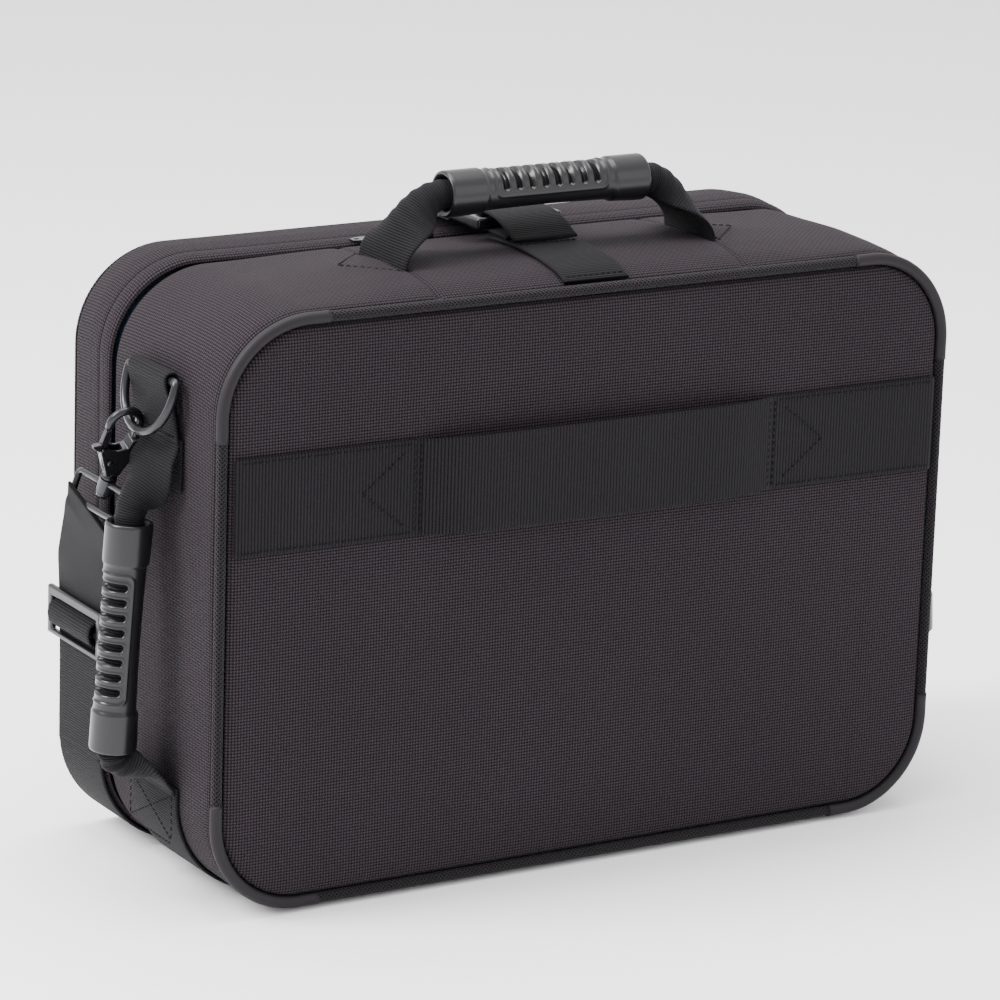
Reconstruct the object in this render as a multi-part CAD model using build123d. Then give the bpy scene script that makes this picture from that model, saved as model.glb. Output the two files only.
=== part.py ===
from build123d import *
import math
import os

# Flight bag: a stiff padded case that opens like a book along its bottom edge.
# Frame: X across the width, +Y to the rear panel, +Z up, origin under the middle of the base.
# Millimetres throughout. "Right" is +X.

os.makedirs("parts", exist_ok=True)

# ---- overall sizes ----
width = 430.0  # across the rear piping
rear_top = 307.0  # top of the rear piping
rear_y = 84.0  # face of the rear panel
split_y = -34.5  # middle of the zip gap
lid_depth = 46.75  # lid edge at the gap to the lid's front face
corner_r = 50.0  # corner radius of the case outline
crown_h = 8.5  # how far the padded top stands above its rear edge
gap = 3.5  # width of the zip gap
lip_depth = 3.0  # wall left outside the zip channel
fit = 0.3  # clearance between pieces that move past each other
seat = 0.1  # clearance between curved pieces sewn together

# ---- webbing ----
webbing_w = 50.0
webbing_t = 2.0
closure_w = 38.0
side_webbing_y = 21.5  # centre of the side and top handle webbing
band_z = rear_top - 94.0  # centre of the trolley band
band_open = 103.0  # half-length of the open stretch of the trolley band
band_bow = 6.5  # how far the open stretch stands off the panel
band_t = 2.2

# ---- rear piping and corner guards ----
piping_r = 3.3
guard_t = 1.1
wall = 2 * piping_r - 0.6  # padded wall, just thick enough to meet the rear panel inside the piping
guard_reach = 11.0  # straight part of a guard beyond the corner arc

# ---- handles ----
grip_len = 117.0
grip_r = 11.0
grip_cuff_r = 12.0
grip_cuff_len = 22.0
grip_bore_r = 7.5
grip_slots = 8
top_grip_z = rear_top + 37.5
top_slit_x = 90.0
side_grip_x = width / 2 + 23.0
side_grip_y = 27.5
side_grip_z = rear_top - 169.5
side_grip_tilt = 3.9

# ---- D-ring and its tab ----
ring_wire_r = 2.25
ring_half_w = 25.2
ring_drop = 29.5
ring_tilt = 15.0
tab_w = 43.0
tab_t = 1.8
bar_x = width / 2 + 4.0
bar_z = rear_top - 38.5

# ---- snap hook, loop and strap ----
hook_wire_r = 2.0
hook_x = width / 2 + 13.4
hook_slant = 28.0
hook_eye_w = 6.0  # inner half-width of the eye
hook_len = 48.5  # jaw top to the middle of the loop's barrel
hook_body_t = 7.0
swivel_pin_r = 1.9
running = 0.08  # radial clearance of pins in holes
loop_wire_r = 1.75
loop_half_w = 26.0
loop_drop = 13.5
loop_lean = 5.0
loop_shift = -4.0  # the barrel sits this far behind the middle of the loop
strap_w = 48.0
strap_y = -61.0
slider_z = rear_top - 189.5
slider_half_h = 13.0
slider_half_w = 30.5

# ---- derived places ----
base_z = webbing_t  # underside of the fabric shell, standing on its webbing
guard_r = piping_r + guard_t
pipe_low = guard_r + 0.2
pipe_high = rear_top - piping_r
pipe_half = width / 2 - piping_r
body_half = width / 2 - 1.0
side_x = body_half
seam_y = rear_y - 2 * piping_r + 0.5
pipe_y = seam_y + piping_r
body_front = split_y + gap / 2
lid_rear = split_y - gap / 2
lid_front = lid_rear - lid_depth
edge_top = rear_top + 0.5
top_z = edge_top - 1.7 + crown_h
lid_half = body_half + 1.0
hinge_z = webbing_t / 2


def plane_at(y, z=0.0, x=0.0):
    """Plane facing -Y with its x along X and its y along Z."""
    return Plane(origin=(x, y, z), x_dir=(1, 0, 0), z_dir=(0, -1, 0))


def outline(y, half, low, high, r):
    return plane_at(y, (low + high) / 2) * RectangleRounded(2 * half, high - low, r)


def tube_of(sections, inset):
    """Ruled solid through (y, half, low, high, corner radius) outlines, all inset."""
    faces = [
        outline(y, half - inset, low + inset, high - inset, r - inset)
        for y, half, low, high, r in sections
    ]
    return loft(faces, ruled=True)


def stretched(sections, by):
    """The same outlines with both ends pushed outwards, for clean cuts."""
    first = (sections[0][0] + by, *sections[0][1:])
    last = (sections[-1][0] - by, *sections[-1][1:])
    return [first, *sections, last]


def block(x0, x1, y0, y1, z0, z1):
    box = Box(x1 - x0, y1 - y0, z1 - z0)
    return Pos((x0 + x1) / 2, (y0 + y1) / 2, (z0 + z1) / 2) * box


def rod(start, end, r):
    """Round bar between two points."""
    a = Vector(*start)
    b = Vector(*end)
    return Plane(origin=a, z_dir=b - a) * extrude(Circle(r), (b - a).length)


def mirrored(shape):
    return mirror(shape, about=Plane.YZ)


def one(shape):
    """Largest solid of a boolean result."""
    return max(shape.solids(), key=lambda s: s.volume)


def write(name, shape):
    export_step(shape, "parts/" + name + ".step")


def write_pair(name, shape):
    """Right-hand piece and its mirror image on the left."""
    write(name + "_right", shape)
    write(name + "_left", mirrored(shape))


def wire_loop(corners, radii, r):
    """Closed round-wire loop through corner points with a fillet radius at each."""
    path = FilletPolyline(*corners, radius=radii, close=True)
    start = path.edges()[0]
    section = Plane(origin=start @ 0.5, z_dir=start % 0.5) * Circle(r)
    return sweep(section, path=_from_middle(path, start))


def _from_middle(path, first):
    """The loop cut at the middle of its first edge, so that the sweep starts on a straight."""
    edges = list(path.edges())
    rest = edges[1:]
    halves = [first.trim(0.5, 1.0), first.trim(0.0, 0.5)]
    return Wire([halves[0], *rest, halves[1]])


# ---- zip ----
tape_inset = 5.0
tape_t = 1.0
tape_w = 7.0
coil_h = 2.4
coil_w = 1.4
zip_end_z = base_z + corner_r + 6.0
channel_reach = tape_w + 1.0

# ---- case outlines ----
panel_bevel = 7.0  # rounded edge of the lid's front panel
body_sections = [
    (seam_y - seat, body_half, base_z, edge_top - 1.7, corner_r),
    (rear_y - 18.0, body_half, base_z, top_z - 3.3, corner_r),
    (rear_y - 59.0, body_half, base_z, top_z, corner_r),
    (split_y + channel_reach + 0.5, body_half, base_z, edge_top, corner_r),
    (body_front, body_half, base_z, edge_top, corner_r),
]
lid_sections = [
    (lid_rear, lid_half, base_z, edge_top + 1.5, corner_r),
    (lid_rear - 22.0, lid_half, base_z, edge_top + 4.0, corner_r),
    (lid_front + panel_bevel, lid_half - 1.0, base_z, edge_top + 2.5, corner_r),
]
channel = [
    (split_y + channel_reach, body_half, base_z, edge_top, corner_r),
    (split_y - channel_reach, body_half, base_z, edge_top, corner_r),
]


# ---- boards and linings ----
board_t = 3.0
lid_board_t = 2.0
lining_t = 1.5
inner_inset = wall + seat  # inside faces of the padded walls
rear_drop = 1.7  # the walls' rear edge lies this far below the front edge
lining_high = edge_top - wall - rear_drop
lining_low = base_z + inner_inset


# ---- rear panel, board and lining ----
def rear_panel():
    reach = pipe_half - piping_r - seat
    low = pipe_low + piping_r + seat
    high = pipe_high - piping_r - seat
    r = corner_r - 2 * piping_r
    face = outline(seam_y, reach, low, high, r)
    return extrude(face, -(rear_y - seam_y))


def rear_board():
    half = body_half - inner_inset
    face = outline(seam_y - seat, half, lining_low, lining_high - seat, corner_r - inner_inset)
    return extrude(face, board_t)


def tray(shut_y, open_y, high):
    """Fabric tray inside the padded walls, closed over the board at shut_y and open at open_y."""
    half = body_half - inner_inset
    r = corner_r - inner_inset
    deep = shut_y - open_y
    floor_y = shut_y - math.copysign(lining_t, deep)
    outer = outline(shut_y, half, lining_low, high, r)
    inner = outline(floor_y, half - lining_t, lining_low + lining_t, high - lining_t, r - lining_t)
    return extrude(outer, deep) - extrude(inner, deep)


write("rear_panel", rear_panel())
write("rear_board", rear_board())
write("body_lining", tray(seam_y - board_t - 2 * seat, body_front + 6.0, lining_high))

# ---- padded walls of the body: one top, one bottom and two side gussets ----
body_ring = tube_of(body_sections, 0.0) - tube_of(stretched(body_sections, 1.0), wall)
body_ring = body_ring - tube_of(channel, lip_depth)
seam_x = top_slit_x
middle = block(-seam_x, seam_x, body_front - 20, rear_y + 20, -20, rear_top + 60)
mid_z = rear_top / 2
upper = block(-width, width, body_front - 20, rear_y + 20, mid_z, rear_top + 60)
lower = block(-width, width, body_front - 20, rear_y + 20, -20, mid_z)
write("body_top_panel", one(body_ring & middle & upper))
write("body_bottom_panel", one(body_ring & middle & lower))
right_half = block(seam_x, width, body_front - 20, rear_y + 20, -20, rear_top + 60)
write_pair("body_side_gusset", one(body_ring & right_half))

# ---- lid: an upper and a lower gusset, front panel, board and lining ----
lid_ring = tube_of(lid_sections, 0.0) - tube_of(stretched(lid_sections, 1.0), wall)
lid_ring = lid_ring - tube_of(channel, lip_depth)
lid_upper = block(-width, width, lid_front - 20, lid_rear + 20, mid_z, rear_top + 60)
lid_lower = block(-width, width, lid_front - 20, lid_rear + 20, -20, mid_z)
write("lid_gusset_upper", one(lid_ring & lid_upper))
write("lid_gusset_lower", one(lid_ring & lid_lower))



def lid_panel_section(y, inset):
    """The lid's outline at a depth, drawn in by an inset."""
    _, half, low, high, r = lid_sections[-1]
    return (y, half - inset, low + inset, high - inset, r - inset)


lid_panel_sections = [
    lid_panel_section(lid_front + panel_bevel, 0.0),
    lid_panel_section(lid_front + 3.0, 2.5),
    lid_panel_section(lid_front, panel_bevel),
]
write("lid_front_panel", tube_of(lid_panel_sections, 0.0))


lid_board_y = lid_front + panel_bevel + seat


def lid_board():
    half = body_half - inner_inset
    face = outline(lid_board_y, half, lining_low, edge_top - inner_inset, corner_r - inner_inset)
    return extrude(face, -lid_board_t)


write("lid_board", lid_board())
write("lid_lining", tray(lid_board_y + lid_board_t + seat, lid_rear - 6.0, edge_top - inner_inset))

# ---- padded dividers in the body ----
divider_t = 8.0
divider_x = 70.0
divider_h = rear_top - 97.0
divider_back = seam_y - board_t - lining_t - 4 * seat
divider_front = body_front + 9.0
divider_low = lining_low + lining_t + seat
divider = block(
    divider_x - divider_t / 2,
    divider_x + divider_t / 2,
    divider_front,
    divider_back,
    divider_low,
    divider_low + divider_h,
)
write_pair("divider", divider)


# ---- zip: two tapes with their coils, round the sides and top ----
def ring_between(y0, y1, inset, thickness):
    face = outline(y1, body_half - inset, base_z + inset, edge_top - inset, corner_r - inset)
    deeper = inset + thickness
    hole = outline(y1 + 1, body_half - deeper, base_z + deeper, edge_top - deeper, corner_r - deeper)
    return extrude(face, y1 - y0) - extrude(hole, y1 - y0 + 2)


def zip_half(sign):
    """Tape with its coil; sign +1 is the body's, -1 the lid's."""
    near = split_y + sign * fit / 2
    far = near + sign * tape_w
    coil_far = near + sign * coil_w
    tape = ring_between(min(near, far), max(near, far), tape_inset, tape_t)
    coil_inset = tape_inset + tape_t / 2 - coil_h / 2
    coil = ring_between(min(near, coil_far), max(near, coil_far), coil_inset, coil_h)
    keep = block(-width, width, split_y - 20, split_y + 20, zip_end_z, rear_top + 40)
    return one((tape + coil) & keep)


write("zip_tape_body", zip_half(1))
write("zip_tape_lid", zip_half(-1))

# ---- zip sliders with their pulls, closed together on the straight top ----
slider_body_len = 12.0
slider_body_w = 8.6
bridge_len = 7.0
bridge_w = 2.2
bridge_head = 1.8  # bridge left round the pull's bar
pull_bar_r = 0.75
pull_half_w = 3.4
pull_arm_len = 7.0
pull_len = 24.0
pull_t = 1.3
zip_slider_x = {"right": 64.0, "left": 34.0}
pull_pivot_z = edge_top + 1.5 + 2 * fit + pull_bar_r + 0.25


def zip_slider(x):
    """Slider plate over both coils, with a bridge that comes up through the gap."""
    coil_top = tape_inset + tape_t / 2 - coil_h / 2
    plate_high = edge_top - lip_depth - fit
    plate = block(
        x - slider_body_len / 2,
        x + slider_body_len / 2,
        split_y - slider_body_w / 2,
        split_y + slider_body_w / 2,
        edge_top - coil_top + fit,
        plate_high,
    )
    bridge = block(
        x - bridge_len / 2,
        x + bridge_len / 2,
        split_y - bridge_w / 2,
        split_y + bridge_w / 2,
        plate_high - 0.1,
        pull_pivot_z + bridge_head,
    )
    hole = rod((x, split_y - 5, pull_pivot_z), (x, split_y + 5, pull_pivot_z), pull_bar_r + running)
    return one(plate + bridge - hole)


def zip_pull(x):
    """Pull lying flat from a bar through the bridge."""
    low = pull_pivot_z - pull_bar_r
    high = pull_pivot_z + pull_bar_r
    pull = rod((x, split_y - pull_half_w, pull_pivot_z), (x, split_y + pull_half_w, pull_pivot_z), pull_bar_r)
    for side in (-1, 1):
        mid = split_y + side * pull_half_w
        pull = pull + block(x, x + pull_arm_len, mid - pull_bar_r, mid + pull_bar_r, low, high)
    wide = pull_half_w + pull_bar_r
    tab = block(
        x + pull_arm_len - 1.0,
        x + pull_len,
        split_y - wide,
        split_y + wide,
        pull_pivot_z - pull_t / 2,
        pull_pivot_z + pull_t / 2,
    )
    return pull + tab


for place, x in zip_slider_x.items():
    write("zip_slider_" + place, zip_slider(x))
    write("zip_pull_" + place, zip_pull(x))

# ---- fabric hinge rolled along the bottom of the gap ----
hinge_half = width / 2 - corner_r - 5.0
write("lid_hinge_strip", rod((-hinge_half, split_y, hinge_z), (hinge_half, split_y, hinge_z), hinge_z - 0.05))

# ---- rear piping and its four rubber corner guards ----
pipe_mid_z = (pipe_low + pipe_high) / 2
pipe_corners = [
    (-pipe_half, pipe_y, pipe_low),
    (pipe_half, pipe_y, pipe_low),
    (pipe_half, pipe_y, pipe_high),
    (-pipe_half, pipe_y, pipe_high),
]
pipe_bend = corner_r - piping_r
write("rear_piping", wire_loop(pipe_corners, [pipe_bend] * 4, piping_r))


def guard(sx, top):
    """Half sleeve over the piping round one corner, open towards the fabric."""
    inner = piping_r + seat / 2
    cz = pipe_high - pipe_bend if top else pipe_low + pipe_bend
    cx = sx * (pipe_half - pipe_bend)
    up = 1 if top else -1
    from_deg, to_deg = -30.0, 118.0
    outer_arc = CenterArc((0, 0), guard_r, from_deg, to_deg - from_deg)
    inner_arc = CenterArc((0, 0), inner, from_deg, to_deg - from_deg)
    ends = [Line(outer_arc @ 0, inner_arc @ 0), Line(outer_arc @ 1, inner_arc @ 1)]
    face = make_face([outer_arc, ends[1], inner_arc, ends[0]])
    begin = (cx + sx * pipe_bend, pipe_y, cz - up * guard_reach)
    section = Plane(origin=begin, x_dir=(sx, 0, 0), z_dir=(0, 0, sx)) * face
    p0 = Vector(*begin)
    p1 = Vector(cx + sx * pipe_bend, pipe_y, cz)
    p2 = Vector(cx + sx * pipe_bend * math.sqrt(0.5), pipe_y, cz + up * pipe_bend * math.sqrt(0.5))
    p3 = Vector(cx, pipe_y, cz + up * pipe_bend)
    p4 = Vector(cx - sx * guard_reach, pipe_y, cz + up * pipe_bend)
    path = Wire([Edge.make_line(p0, p1), Edge.make_three_point_arc(p1, p2, p3), Edge.make_line(p3, p4)])
    return sweep(section, path=path)


for name, sx, top in [
    ("corner_guard_top_right", 1, True),
    ("corner_guard_top_left", -1, True),
    ("corner_guard_bottom_right", 1, False),
    ("corner_guard_bottom_left", -1, False),
]:
    write(name, guard(sx, top))


# ---- trolley band across the rear panel ----
def trolley_band():
    """Sewn flat at both ends, standing off the panel between the stitch lines."""
    end_x = pipe_half - piping_r - 2.0
    ramp = 22.0
    inner = [
        (-end_x, rear_y),
        (-band_open, rear_y),
        (-band_open + ramp, rear_y + band_bow),
        (band_open - ramp, rear_y + band_bow),
        (band_open, rear_y),
        (end_x, rear_y),
    ]
    outer = [(x, y + band_t) for x, y in reversed(inner)]
    face = make_face(Polyline(*inner, *outer, close=True))
    low = band_z - webbing_w / 2
    return Pos(0, 0, low) * extrude(face, webbing_w)


write("trolley_band", trolley_band())


# ---- flat strips that wrap the outline of the case ----
def wrap(half, y_mid, w, t, high):
    """U-shaped strip under the case and up both sides to a given height."""
    reach = rear_top
    outer = outline(y_mid + w / 2, half + t, 0.0, 2 * reach, corner_r + t)
    inner = outline(y_mid + w / 2 + 1, half, t, 2 * reach - t, corner_r)
    strip = extrude(outer, w) - extrude(inner, w + 2)
    return one(strip & block(-width, width, -width, width, -10, high))


belly_high = 65.0
write("belly_webbing", wrap(side_x + seat, side_webbing_y, webbing_w, webbing_t, belly_high))
under_high = base_z + corner_r
write("shoulder_strap_under", wrap(lid_half + fit, strap_y, webbing_w, webbing_t, under_high - fit))

# ---- side webbing above the handle, with the D-ring tab ----
upper_webbing_low = bar_z - 56.5
upper_webbing_high = bar_z - 6.5
skin = side_x + seat
side_strip = block(
    skin,
    skin + webbing_t,
    side_webbing_y - webbing_w / 2,
    side_webbing_y + webbing_w / 2,
    upper_webbing_low,
    upper_webbing_high - 22.0,
)
write_pair("side_webbing", side_strip)

tab_bore_r = ring_wire_r + running
tab_outer_r = tab_bore_r + tab_t


def ring_tab():
    """Webbing folded over the ring's bar and sewn flat below it."""
    y0 = side_webbing_y - tab_w / 2
    y1 = side_webbing_y + tab_w / 2
    fold = rod((bar_x, y0, bar_z), (bar_x, y1, bar_z), tab_outer_r)
    flat = block(skin, skin + webbing_t + tab_t, y0, y1, upper_webbing_high - 22.0, bar_z)
    bore = rod((bar_x, y0 - 1, bar_z), (bar_x, y1 + 1, bar_z), tab_bore_r)
    beyond = block(side_x - 10, skin, y0 - 5, y1 + 5, bar_z - 40, bar_z + 10)
    return one((fold + flat) - bore - beyond)


write_pair("ring_tab", ring_tab())


def d_ring():
    """D-shaped wire, built hanging straight and then leaned out on its bar."""
    corners = [
        (bar_x, side_webbing_y - ring_half_w, bar_z),
        (bar_x, side_webbing_y + ring_half_w, bar_z),
        (bar_x, side_webbing_y + ring_half_w, bar_z - ring_drop),
        (bar_x, side_webbing_y - ring_half_w, bar_z - ring_drop),
    ]
    bend = ring_half_w - 0.4
    ring = wire_loop(corners, [2.6, 2.6, bend, bend], ring_wire_r)
    bar = Axis((bar_x, side_webbing_y, bar_z), (0, -1, 0))
    return ring.rotate(bar, ring_tilt)


write_pair("d_ring", d_ring())

# ---- snap hook: frame hanging through the ring, gate, swivel pin ----
hook_y = 10.5  # where the ring's wire passes through the eye
ring_centre_drop = ring_drop - ring_half_w + 0.4
wire_drop = ring_centre_drop + math.sqrt((ring_half_w - 0.4) ** 2 - (side_webbing_y - hook_y) ** 2)
lean = math.radians(ring_tilt)
wire_z = bar_z - wire_drop * math.cos(lean)
slant = math.radians(hook_slant)
hook_play = 2.0
jaw_rise = ring_wire_r + hook_play + hook_wire_r
jaw_y = hook_y + jaw_rise * math.sin(slant)
jaw_z = wire_z + jaw_rise * math.cos(slant)
barrel_y = jaw_y - hook_len * math.sin(slant)
barrel_z = jaw_z - hook_len * math.cos(slant)
# Hook plane: u outwards along X, w up along the hook from the barrel's middle.
hook_normal = (0, -math.cos(slant), math.sin(slant))
hook_plane = Plane(origin=(hook_x, barrel_y, barrel_z), x_dir=(1, 0, 0), z_dir=hook_normal)
barrel_half = 4.4
collar_r = 4.2
jaw_u = hook_eye_w + hook_wire_r
jaw_base_w = 27.0
jaw_end = 2.0  # straight end of the jaw past its arc
rivet_u, rivet_w = 3.5, 17.0
rivet_r = 1.6
gate_t = 3.2
gate_room_low = 5.2  # slot below the rivet, for the gate's heel as it turns
gate_tip_gap = 0.5  # gate tip below the end of the jaw
gate_tip_slope = 1.1  # outer corner of the tip is lower, because it rises as the gate turns in


def hook_frame():
    """Body plate with a J-shaped jaw and a riveted swivel pin, in the hook plane."""
    shoulder_w = barrel_half + 0.25
    plate_half = jaw_u + hook_wire_r + 0.7
    plate_pts = [
        (-4.0, shoulder_w + 3.0),
        (4.0, shoulder_w + 3.0),
        (plate_half, jaw_base_w - 6.0),
        (plate_half, jaw_base_w - 1.0),
        (-plate_half, jaw_base_w + 2.0),
        (-plate_half, jaw_base_w - 4.0),
    ]
    plate = extrude(hook_plane * make_face(Polyline(*plate_pts, close=True)), hook_body_t / 2, both=True)
    gate_room = [
        (rivet_u - 6.0, jaw_base_w + 10.0),
        (rivet_u - 6.0, rivet_w - gate_room_low),
        (jaw_u + 12.0, rivet_w - gate_room_low),
        (jaw_u + 12.0, jaw_base_w + 10.0),
    ]
    slot = extrude(hook_plane * make_face(Polyline(*gate_room, close=True)), gate_t / 2 + fit, both=True)
    plate = plate - slot
    arc_w = hook_len - jaw_u
    arc_ends = (to_hook(-jaw_u, arc_w), to_hook(jaw_u, arc_w))
    jaw_path = Wire(
        [
            Edge.make_line(to_hook(-jaw_u, jaw_base_w), arc_ends[0]),
            Edge.make_three_point_arc(arc_ends[0], to_hook(0, hook_len), arc_ends[1]),
            Edge.make_line(arc_ends[1], to_hook(jaw_u, arc_w - jaw_end)),
        ]
    )
    jaw_section = Plane(origin=to_hook(-jaw_u, jaw_base_w), z_dir=hook_up) * Circle(hook_wire_r)
    jaw = sweep(jaw_section, path=jaw_path)
    collar = rod(to_hook(0, shoulder_w), to_hook(0, shoulder_w + 4.0), collar_r)
    pin = rod(to_hook(0, -shoulder_w - 0.5), to_hook(0, shoulder_w + 0.5), swivel_pin_r)
    head = rod(to_hook(0, -shoulder_w - 3.2), to_hook(0, -shoulder_w), collar_r)
    rivet_half = hook_body_t / 2 + 0.7
    rivet = rod(to_hook(rivet_u, rivet_w, -rivet_half), to_hook(rivet_u, rivet_w, rivet_half), rivet_r)
    return plate + jaw + collar + pin + head + rivet


hook_up = Vector(0, math.sin(slant), math.cos(slant))
hook_side = Vector(0, math.cos(slant), -math.sin(slant))


def to_hook(u, w, v=0.0):
    """Point at u outwards, w up the hook and v across it."""
    return Vector(hook_x + u, barrel_y, barrel_z) + hook_up * w + hook_side * v


def hook_gate():
    """Sprung lever from the rivet to the tip of the jaw, with a thumb tab."""
    tip_w = hook_len - jaw_u - jaw_end - gate_tip_gap
    lever_pts = [
        (rivet_u - 3.2, rivet_w - 1.0),
        (rivet_u + 3.0, rivet_w - 3.4),
        (jaw_u + 1.6, jaw_base_w - 4.0),
        (jaw_u + 6.0, jaw_base_w - 1.0),
        (jaw_u + 6.0, jaw_base_w + 1.0),
        (jaw_u + 1.6, jaw_base_w + 1.0),
        (jaw_u + 1.6, tip_w - gate_tip_slope),
        (jaw_u - 1.6, tip_w),
        (jaw_u - 1.6, jaw_base_w),
    ]
    lever = extrude(hook_plane * make_face(Polyline(*lever_pts, close=True)), gate_t / 2, both=True)
    eye_ends = (to_hook(rivet_u, rivet_w, -hook_body_t), to_hook(rivet_u, rivet_w, hook_body_t))
    eye = rod(*eye_ends, rivet_r + running)
    return lever - eye


write_pair("snap_hook", hook_frame())
write_pair("hook_gate", hook_gate())

# ---- rectangular loop that carries the strap ----
loop_low_x = hook_x + loop_lean
loop_low_z = barrel_z - loop_drop
loop_y = barrel_y + loop_shift


def strap_loop():
    front = loop_y - loop_half_w
    rear = loop_y + loop_half_w
    corners = [
        (hook_x, front, barrel_z),
        (hook_x, rear, barrel_z),
        (loop_low_x, rear, loop_low_z),
        (loop_low_x, front, loop_low_z),
    ]
    wire = wire_loop(corners, [3.5] * 4, loop_wire_r)
    barrel = rod(to_hook(0, -barrel_half), to_hook(0, barrel_half), 4.4)
    bore = rod(to_hook(0, -12), to_hook(0, 12), swivel_pin_r + running)
    return one((wire + barrel) - bore)


write_pair("strap_loop", strap_loop())


# ---- shoulder strap from the loop down the side of the lid ----
def strap_slice(z, x, y, w, t):
    return Plane(origin=(x, y, z), x_dir=(0, 1, 0), z_dir=(0, 0, 1)) * Rectangle(w, t)


def shoulder_strap():
    """Webbing folded round the loop's bar, then slanting forwards to the lid's side."""
    low_x = lid_half + fit + webbing_t / 2
    slices = [
        (loop_low_z - 1.0, loop_low_x, loop_y, 46.0, 3.6),
        (rear_top - 139.0, width / 2 + 11.5, -34.0, strap_w, 3.0),
        (rear_top - 162.0, width / 2 + 5.0, -52.0, strap_w, 2.4),
        (slider_z + slider_half_h + 1.0, low_x, strap_y, strap_w, webbing_t),
        (under_high, low_x, strap_y, strap_w, webbing_t),
    ]
    slab = loft([strap_slice(*s) for s in slices], ruled=True)
    outer_r = loop_wire_r + seat + 1.8
    y0 = loop_y - 23.0
    y1 = loop_y + 23.0
    fold = rod((loop_low_x, y0, loop_low_z), (loop_low_x, y1, loop_low_z), outer_r)
    bore = rod((loop_low_x, y0 - 1, loop_low_z), (loop_low_x, y1 + 1, loop_low_z), loop_wire_r + seat)
    return one((slab + fold) - bore)


write_pair("shoulder_strap", shoulder_strap())

# ---- strap adjuster: a frame with a centre bar, and the webbing folded over that bar ----
slider_in = lid_half + fit + webbing_t + fit
slider_t = 3.6
slider_bar = 5.0


def strap_adjuster():
    frame = block(
        slider_in,
        slider_in + slider_t,
        strap_y - slider_half_w,
        strap_y + slider_half_w,
        slider_z - slider_half_h,
        slider_z + slider_half_h,
    )
    window_h = slider_half_h - slider_bar - 1.6
    for s in (-1, 1):
        mid = slider_z + s * (1.6 + window_h / 2)
        frame = frame - block(
            slider_in - 1,
            slider_in + slider_t + 1,
            strap_y - webbing_w / 2 - 1.0,
            strap_y + webbing_w / 2 + 1.0,
            mid - window_h / 2,
            mid + window_h / 2,
        )
    edges = frame.edges().filter_by(Axis.X).group_by(SortBy.LENGTH)[-1]
    corners = [e for e in edges if abs(abs(e.center().Z - slider_z) - slider_half_h) < 0.01]
    return fillet(corners, 4.0)


def adjuster_fold():
    """Strip of strap that comes up through the windows over the centre bar."""
    low_x = slider_in + 0.2
    high_x = slider_in + slider_t + 2.2
    z0 = slider_z - 1.6 - fit
    z1 = slider_z + 1.6 + fit
    y0 = strap_y - strap_w / 2
    y1 = strap_y + strap_w / 2
    outer = block(low_x, high_x, y0, y1, z0 - 1.9, z1 + 1.9)
    inner = block(low_x - 1, high_x - 1.9, y0 - 1, y1 + 1, z0, z1)
    edges = (outer - inner).edges().filter_by(Axis.Y)
    tops = [e for e in edges if abs(e.center().X - high_x) < 0.01]
    return fillet(tops, 1.6)


write_pair("strap_adjuster", strap_adjuster())
write_pair("adjuster_webbing", adjuster_fold())


# ---- moulded grips ----
def grip():
    """Grip along X at the origin: two cuffs, a waisted slotted middle, bored for the webbing."""
    half = grip_len / 2
    profile = [
        (-half, 0),
        (-half, grip_cuff_r - 1.0),
        (-half + 1.2, grip_cuff_r),
        (-half + grip_cuff_len, grip_cuff_r),
        (-half + grip_cuff_len + 2.5, grip_r),
        (half - grip_cuff_len - 2.5, grip_r),
        (half - grip_cuff_len, grip_cuff_r),
        (half - 1.2, grip_cuff_r),
        (half, grip_cuff_r - 1.0),
        (half, 0),
    ]
    body = revolve(make_face(Polyline(*profile, close=True)), Axis.X)
    bore = rod((-half - 1, 0, 0), (half + 1, 0, 0), grip_bore_r)
    body = body - bore
    pitch = (grip_len - 2 * grip_cuff_len - 10.0) / grip_slots
    slot_half = 2.1
    for i in range(grip_slots):
        x = (i - (grip_slots - 1) / 2) * pitch
        body = body - block(x - slot_half, x + slot_half, -grip_r * 0.62, grip_r * 0.62, 4.0, grip_r + 3)
    return body


handle_clear = 0.4


def webbing_through(half_len):
    """Webbing rolled inside a grip."""
    return rod((-half_len, 0, 0), (half_len, 0, 0), grip_bore_r - handle_clear)


grip_solid = one(grip())
leg_start = grip_len / 2 + 4.5
core_solid = webbing_through(leg_start)
top_place = Pos(0, side_webbing_y + 1.0, top_grip_z)
write("top_grip", top_place * grip_solid)


def tapered_leg(base, base_w, tip, bulge):
    """Webbing leg from a flat strip along Y at its anchor to the roll at the grip."""
    a = Vector(*base)
    b = Vector(*tip)
    across = Vector(0, 1, 0)
    along = (b - a) - across * (b - a).dot(across)
    mid = a + (b - a) * 0.5 + Vector(*bulge)
    stages = [
        (a, base_w, webbing_t, webbing_t * 0.45),
        (mid, base_w * 0.66, webbing_t * 2.6, webbing_t * 1.2),
        (b, 2 * leg_r, 2 * leg_r, leg_r * 0.96),
    ]
    faces = [Plane(origin=o, x_dir=across, z_dir=along) * RectangleRounded(w, t, r) for o, w, t, r in stages]
    return loft(faces, ruled=True)


leg_r = grip_bore_r - handle_clear
top_base = (top_slit_x - 1.5, side_webbing_y, top_z + 1.2)
top_tip = (leg_start, side_webbing_y + 1.0, top_grip_z)
top_leg = tapered_leg(top_base, webbing_w, top_tip, (3.0, 0, 3.0))
write("top_handle_webbing", one(top_place * core_solid + top_leg + mirrored(top_leg)))

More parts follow.
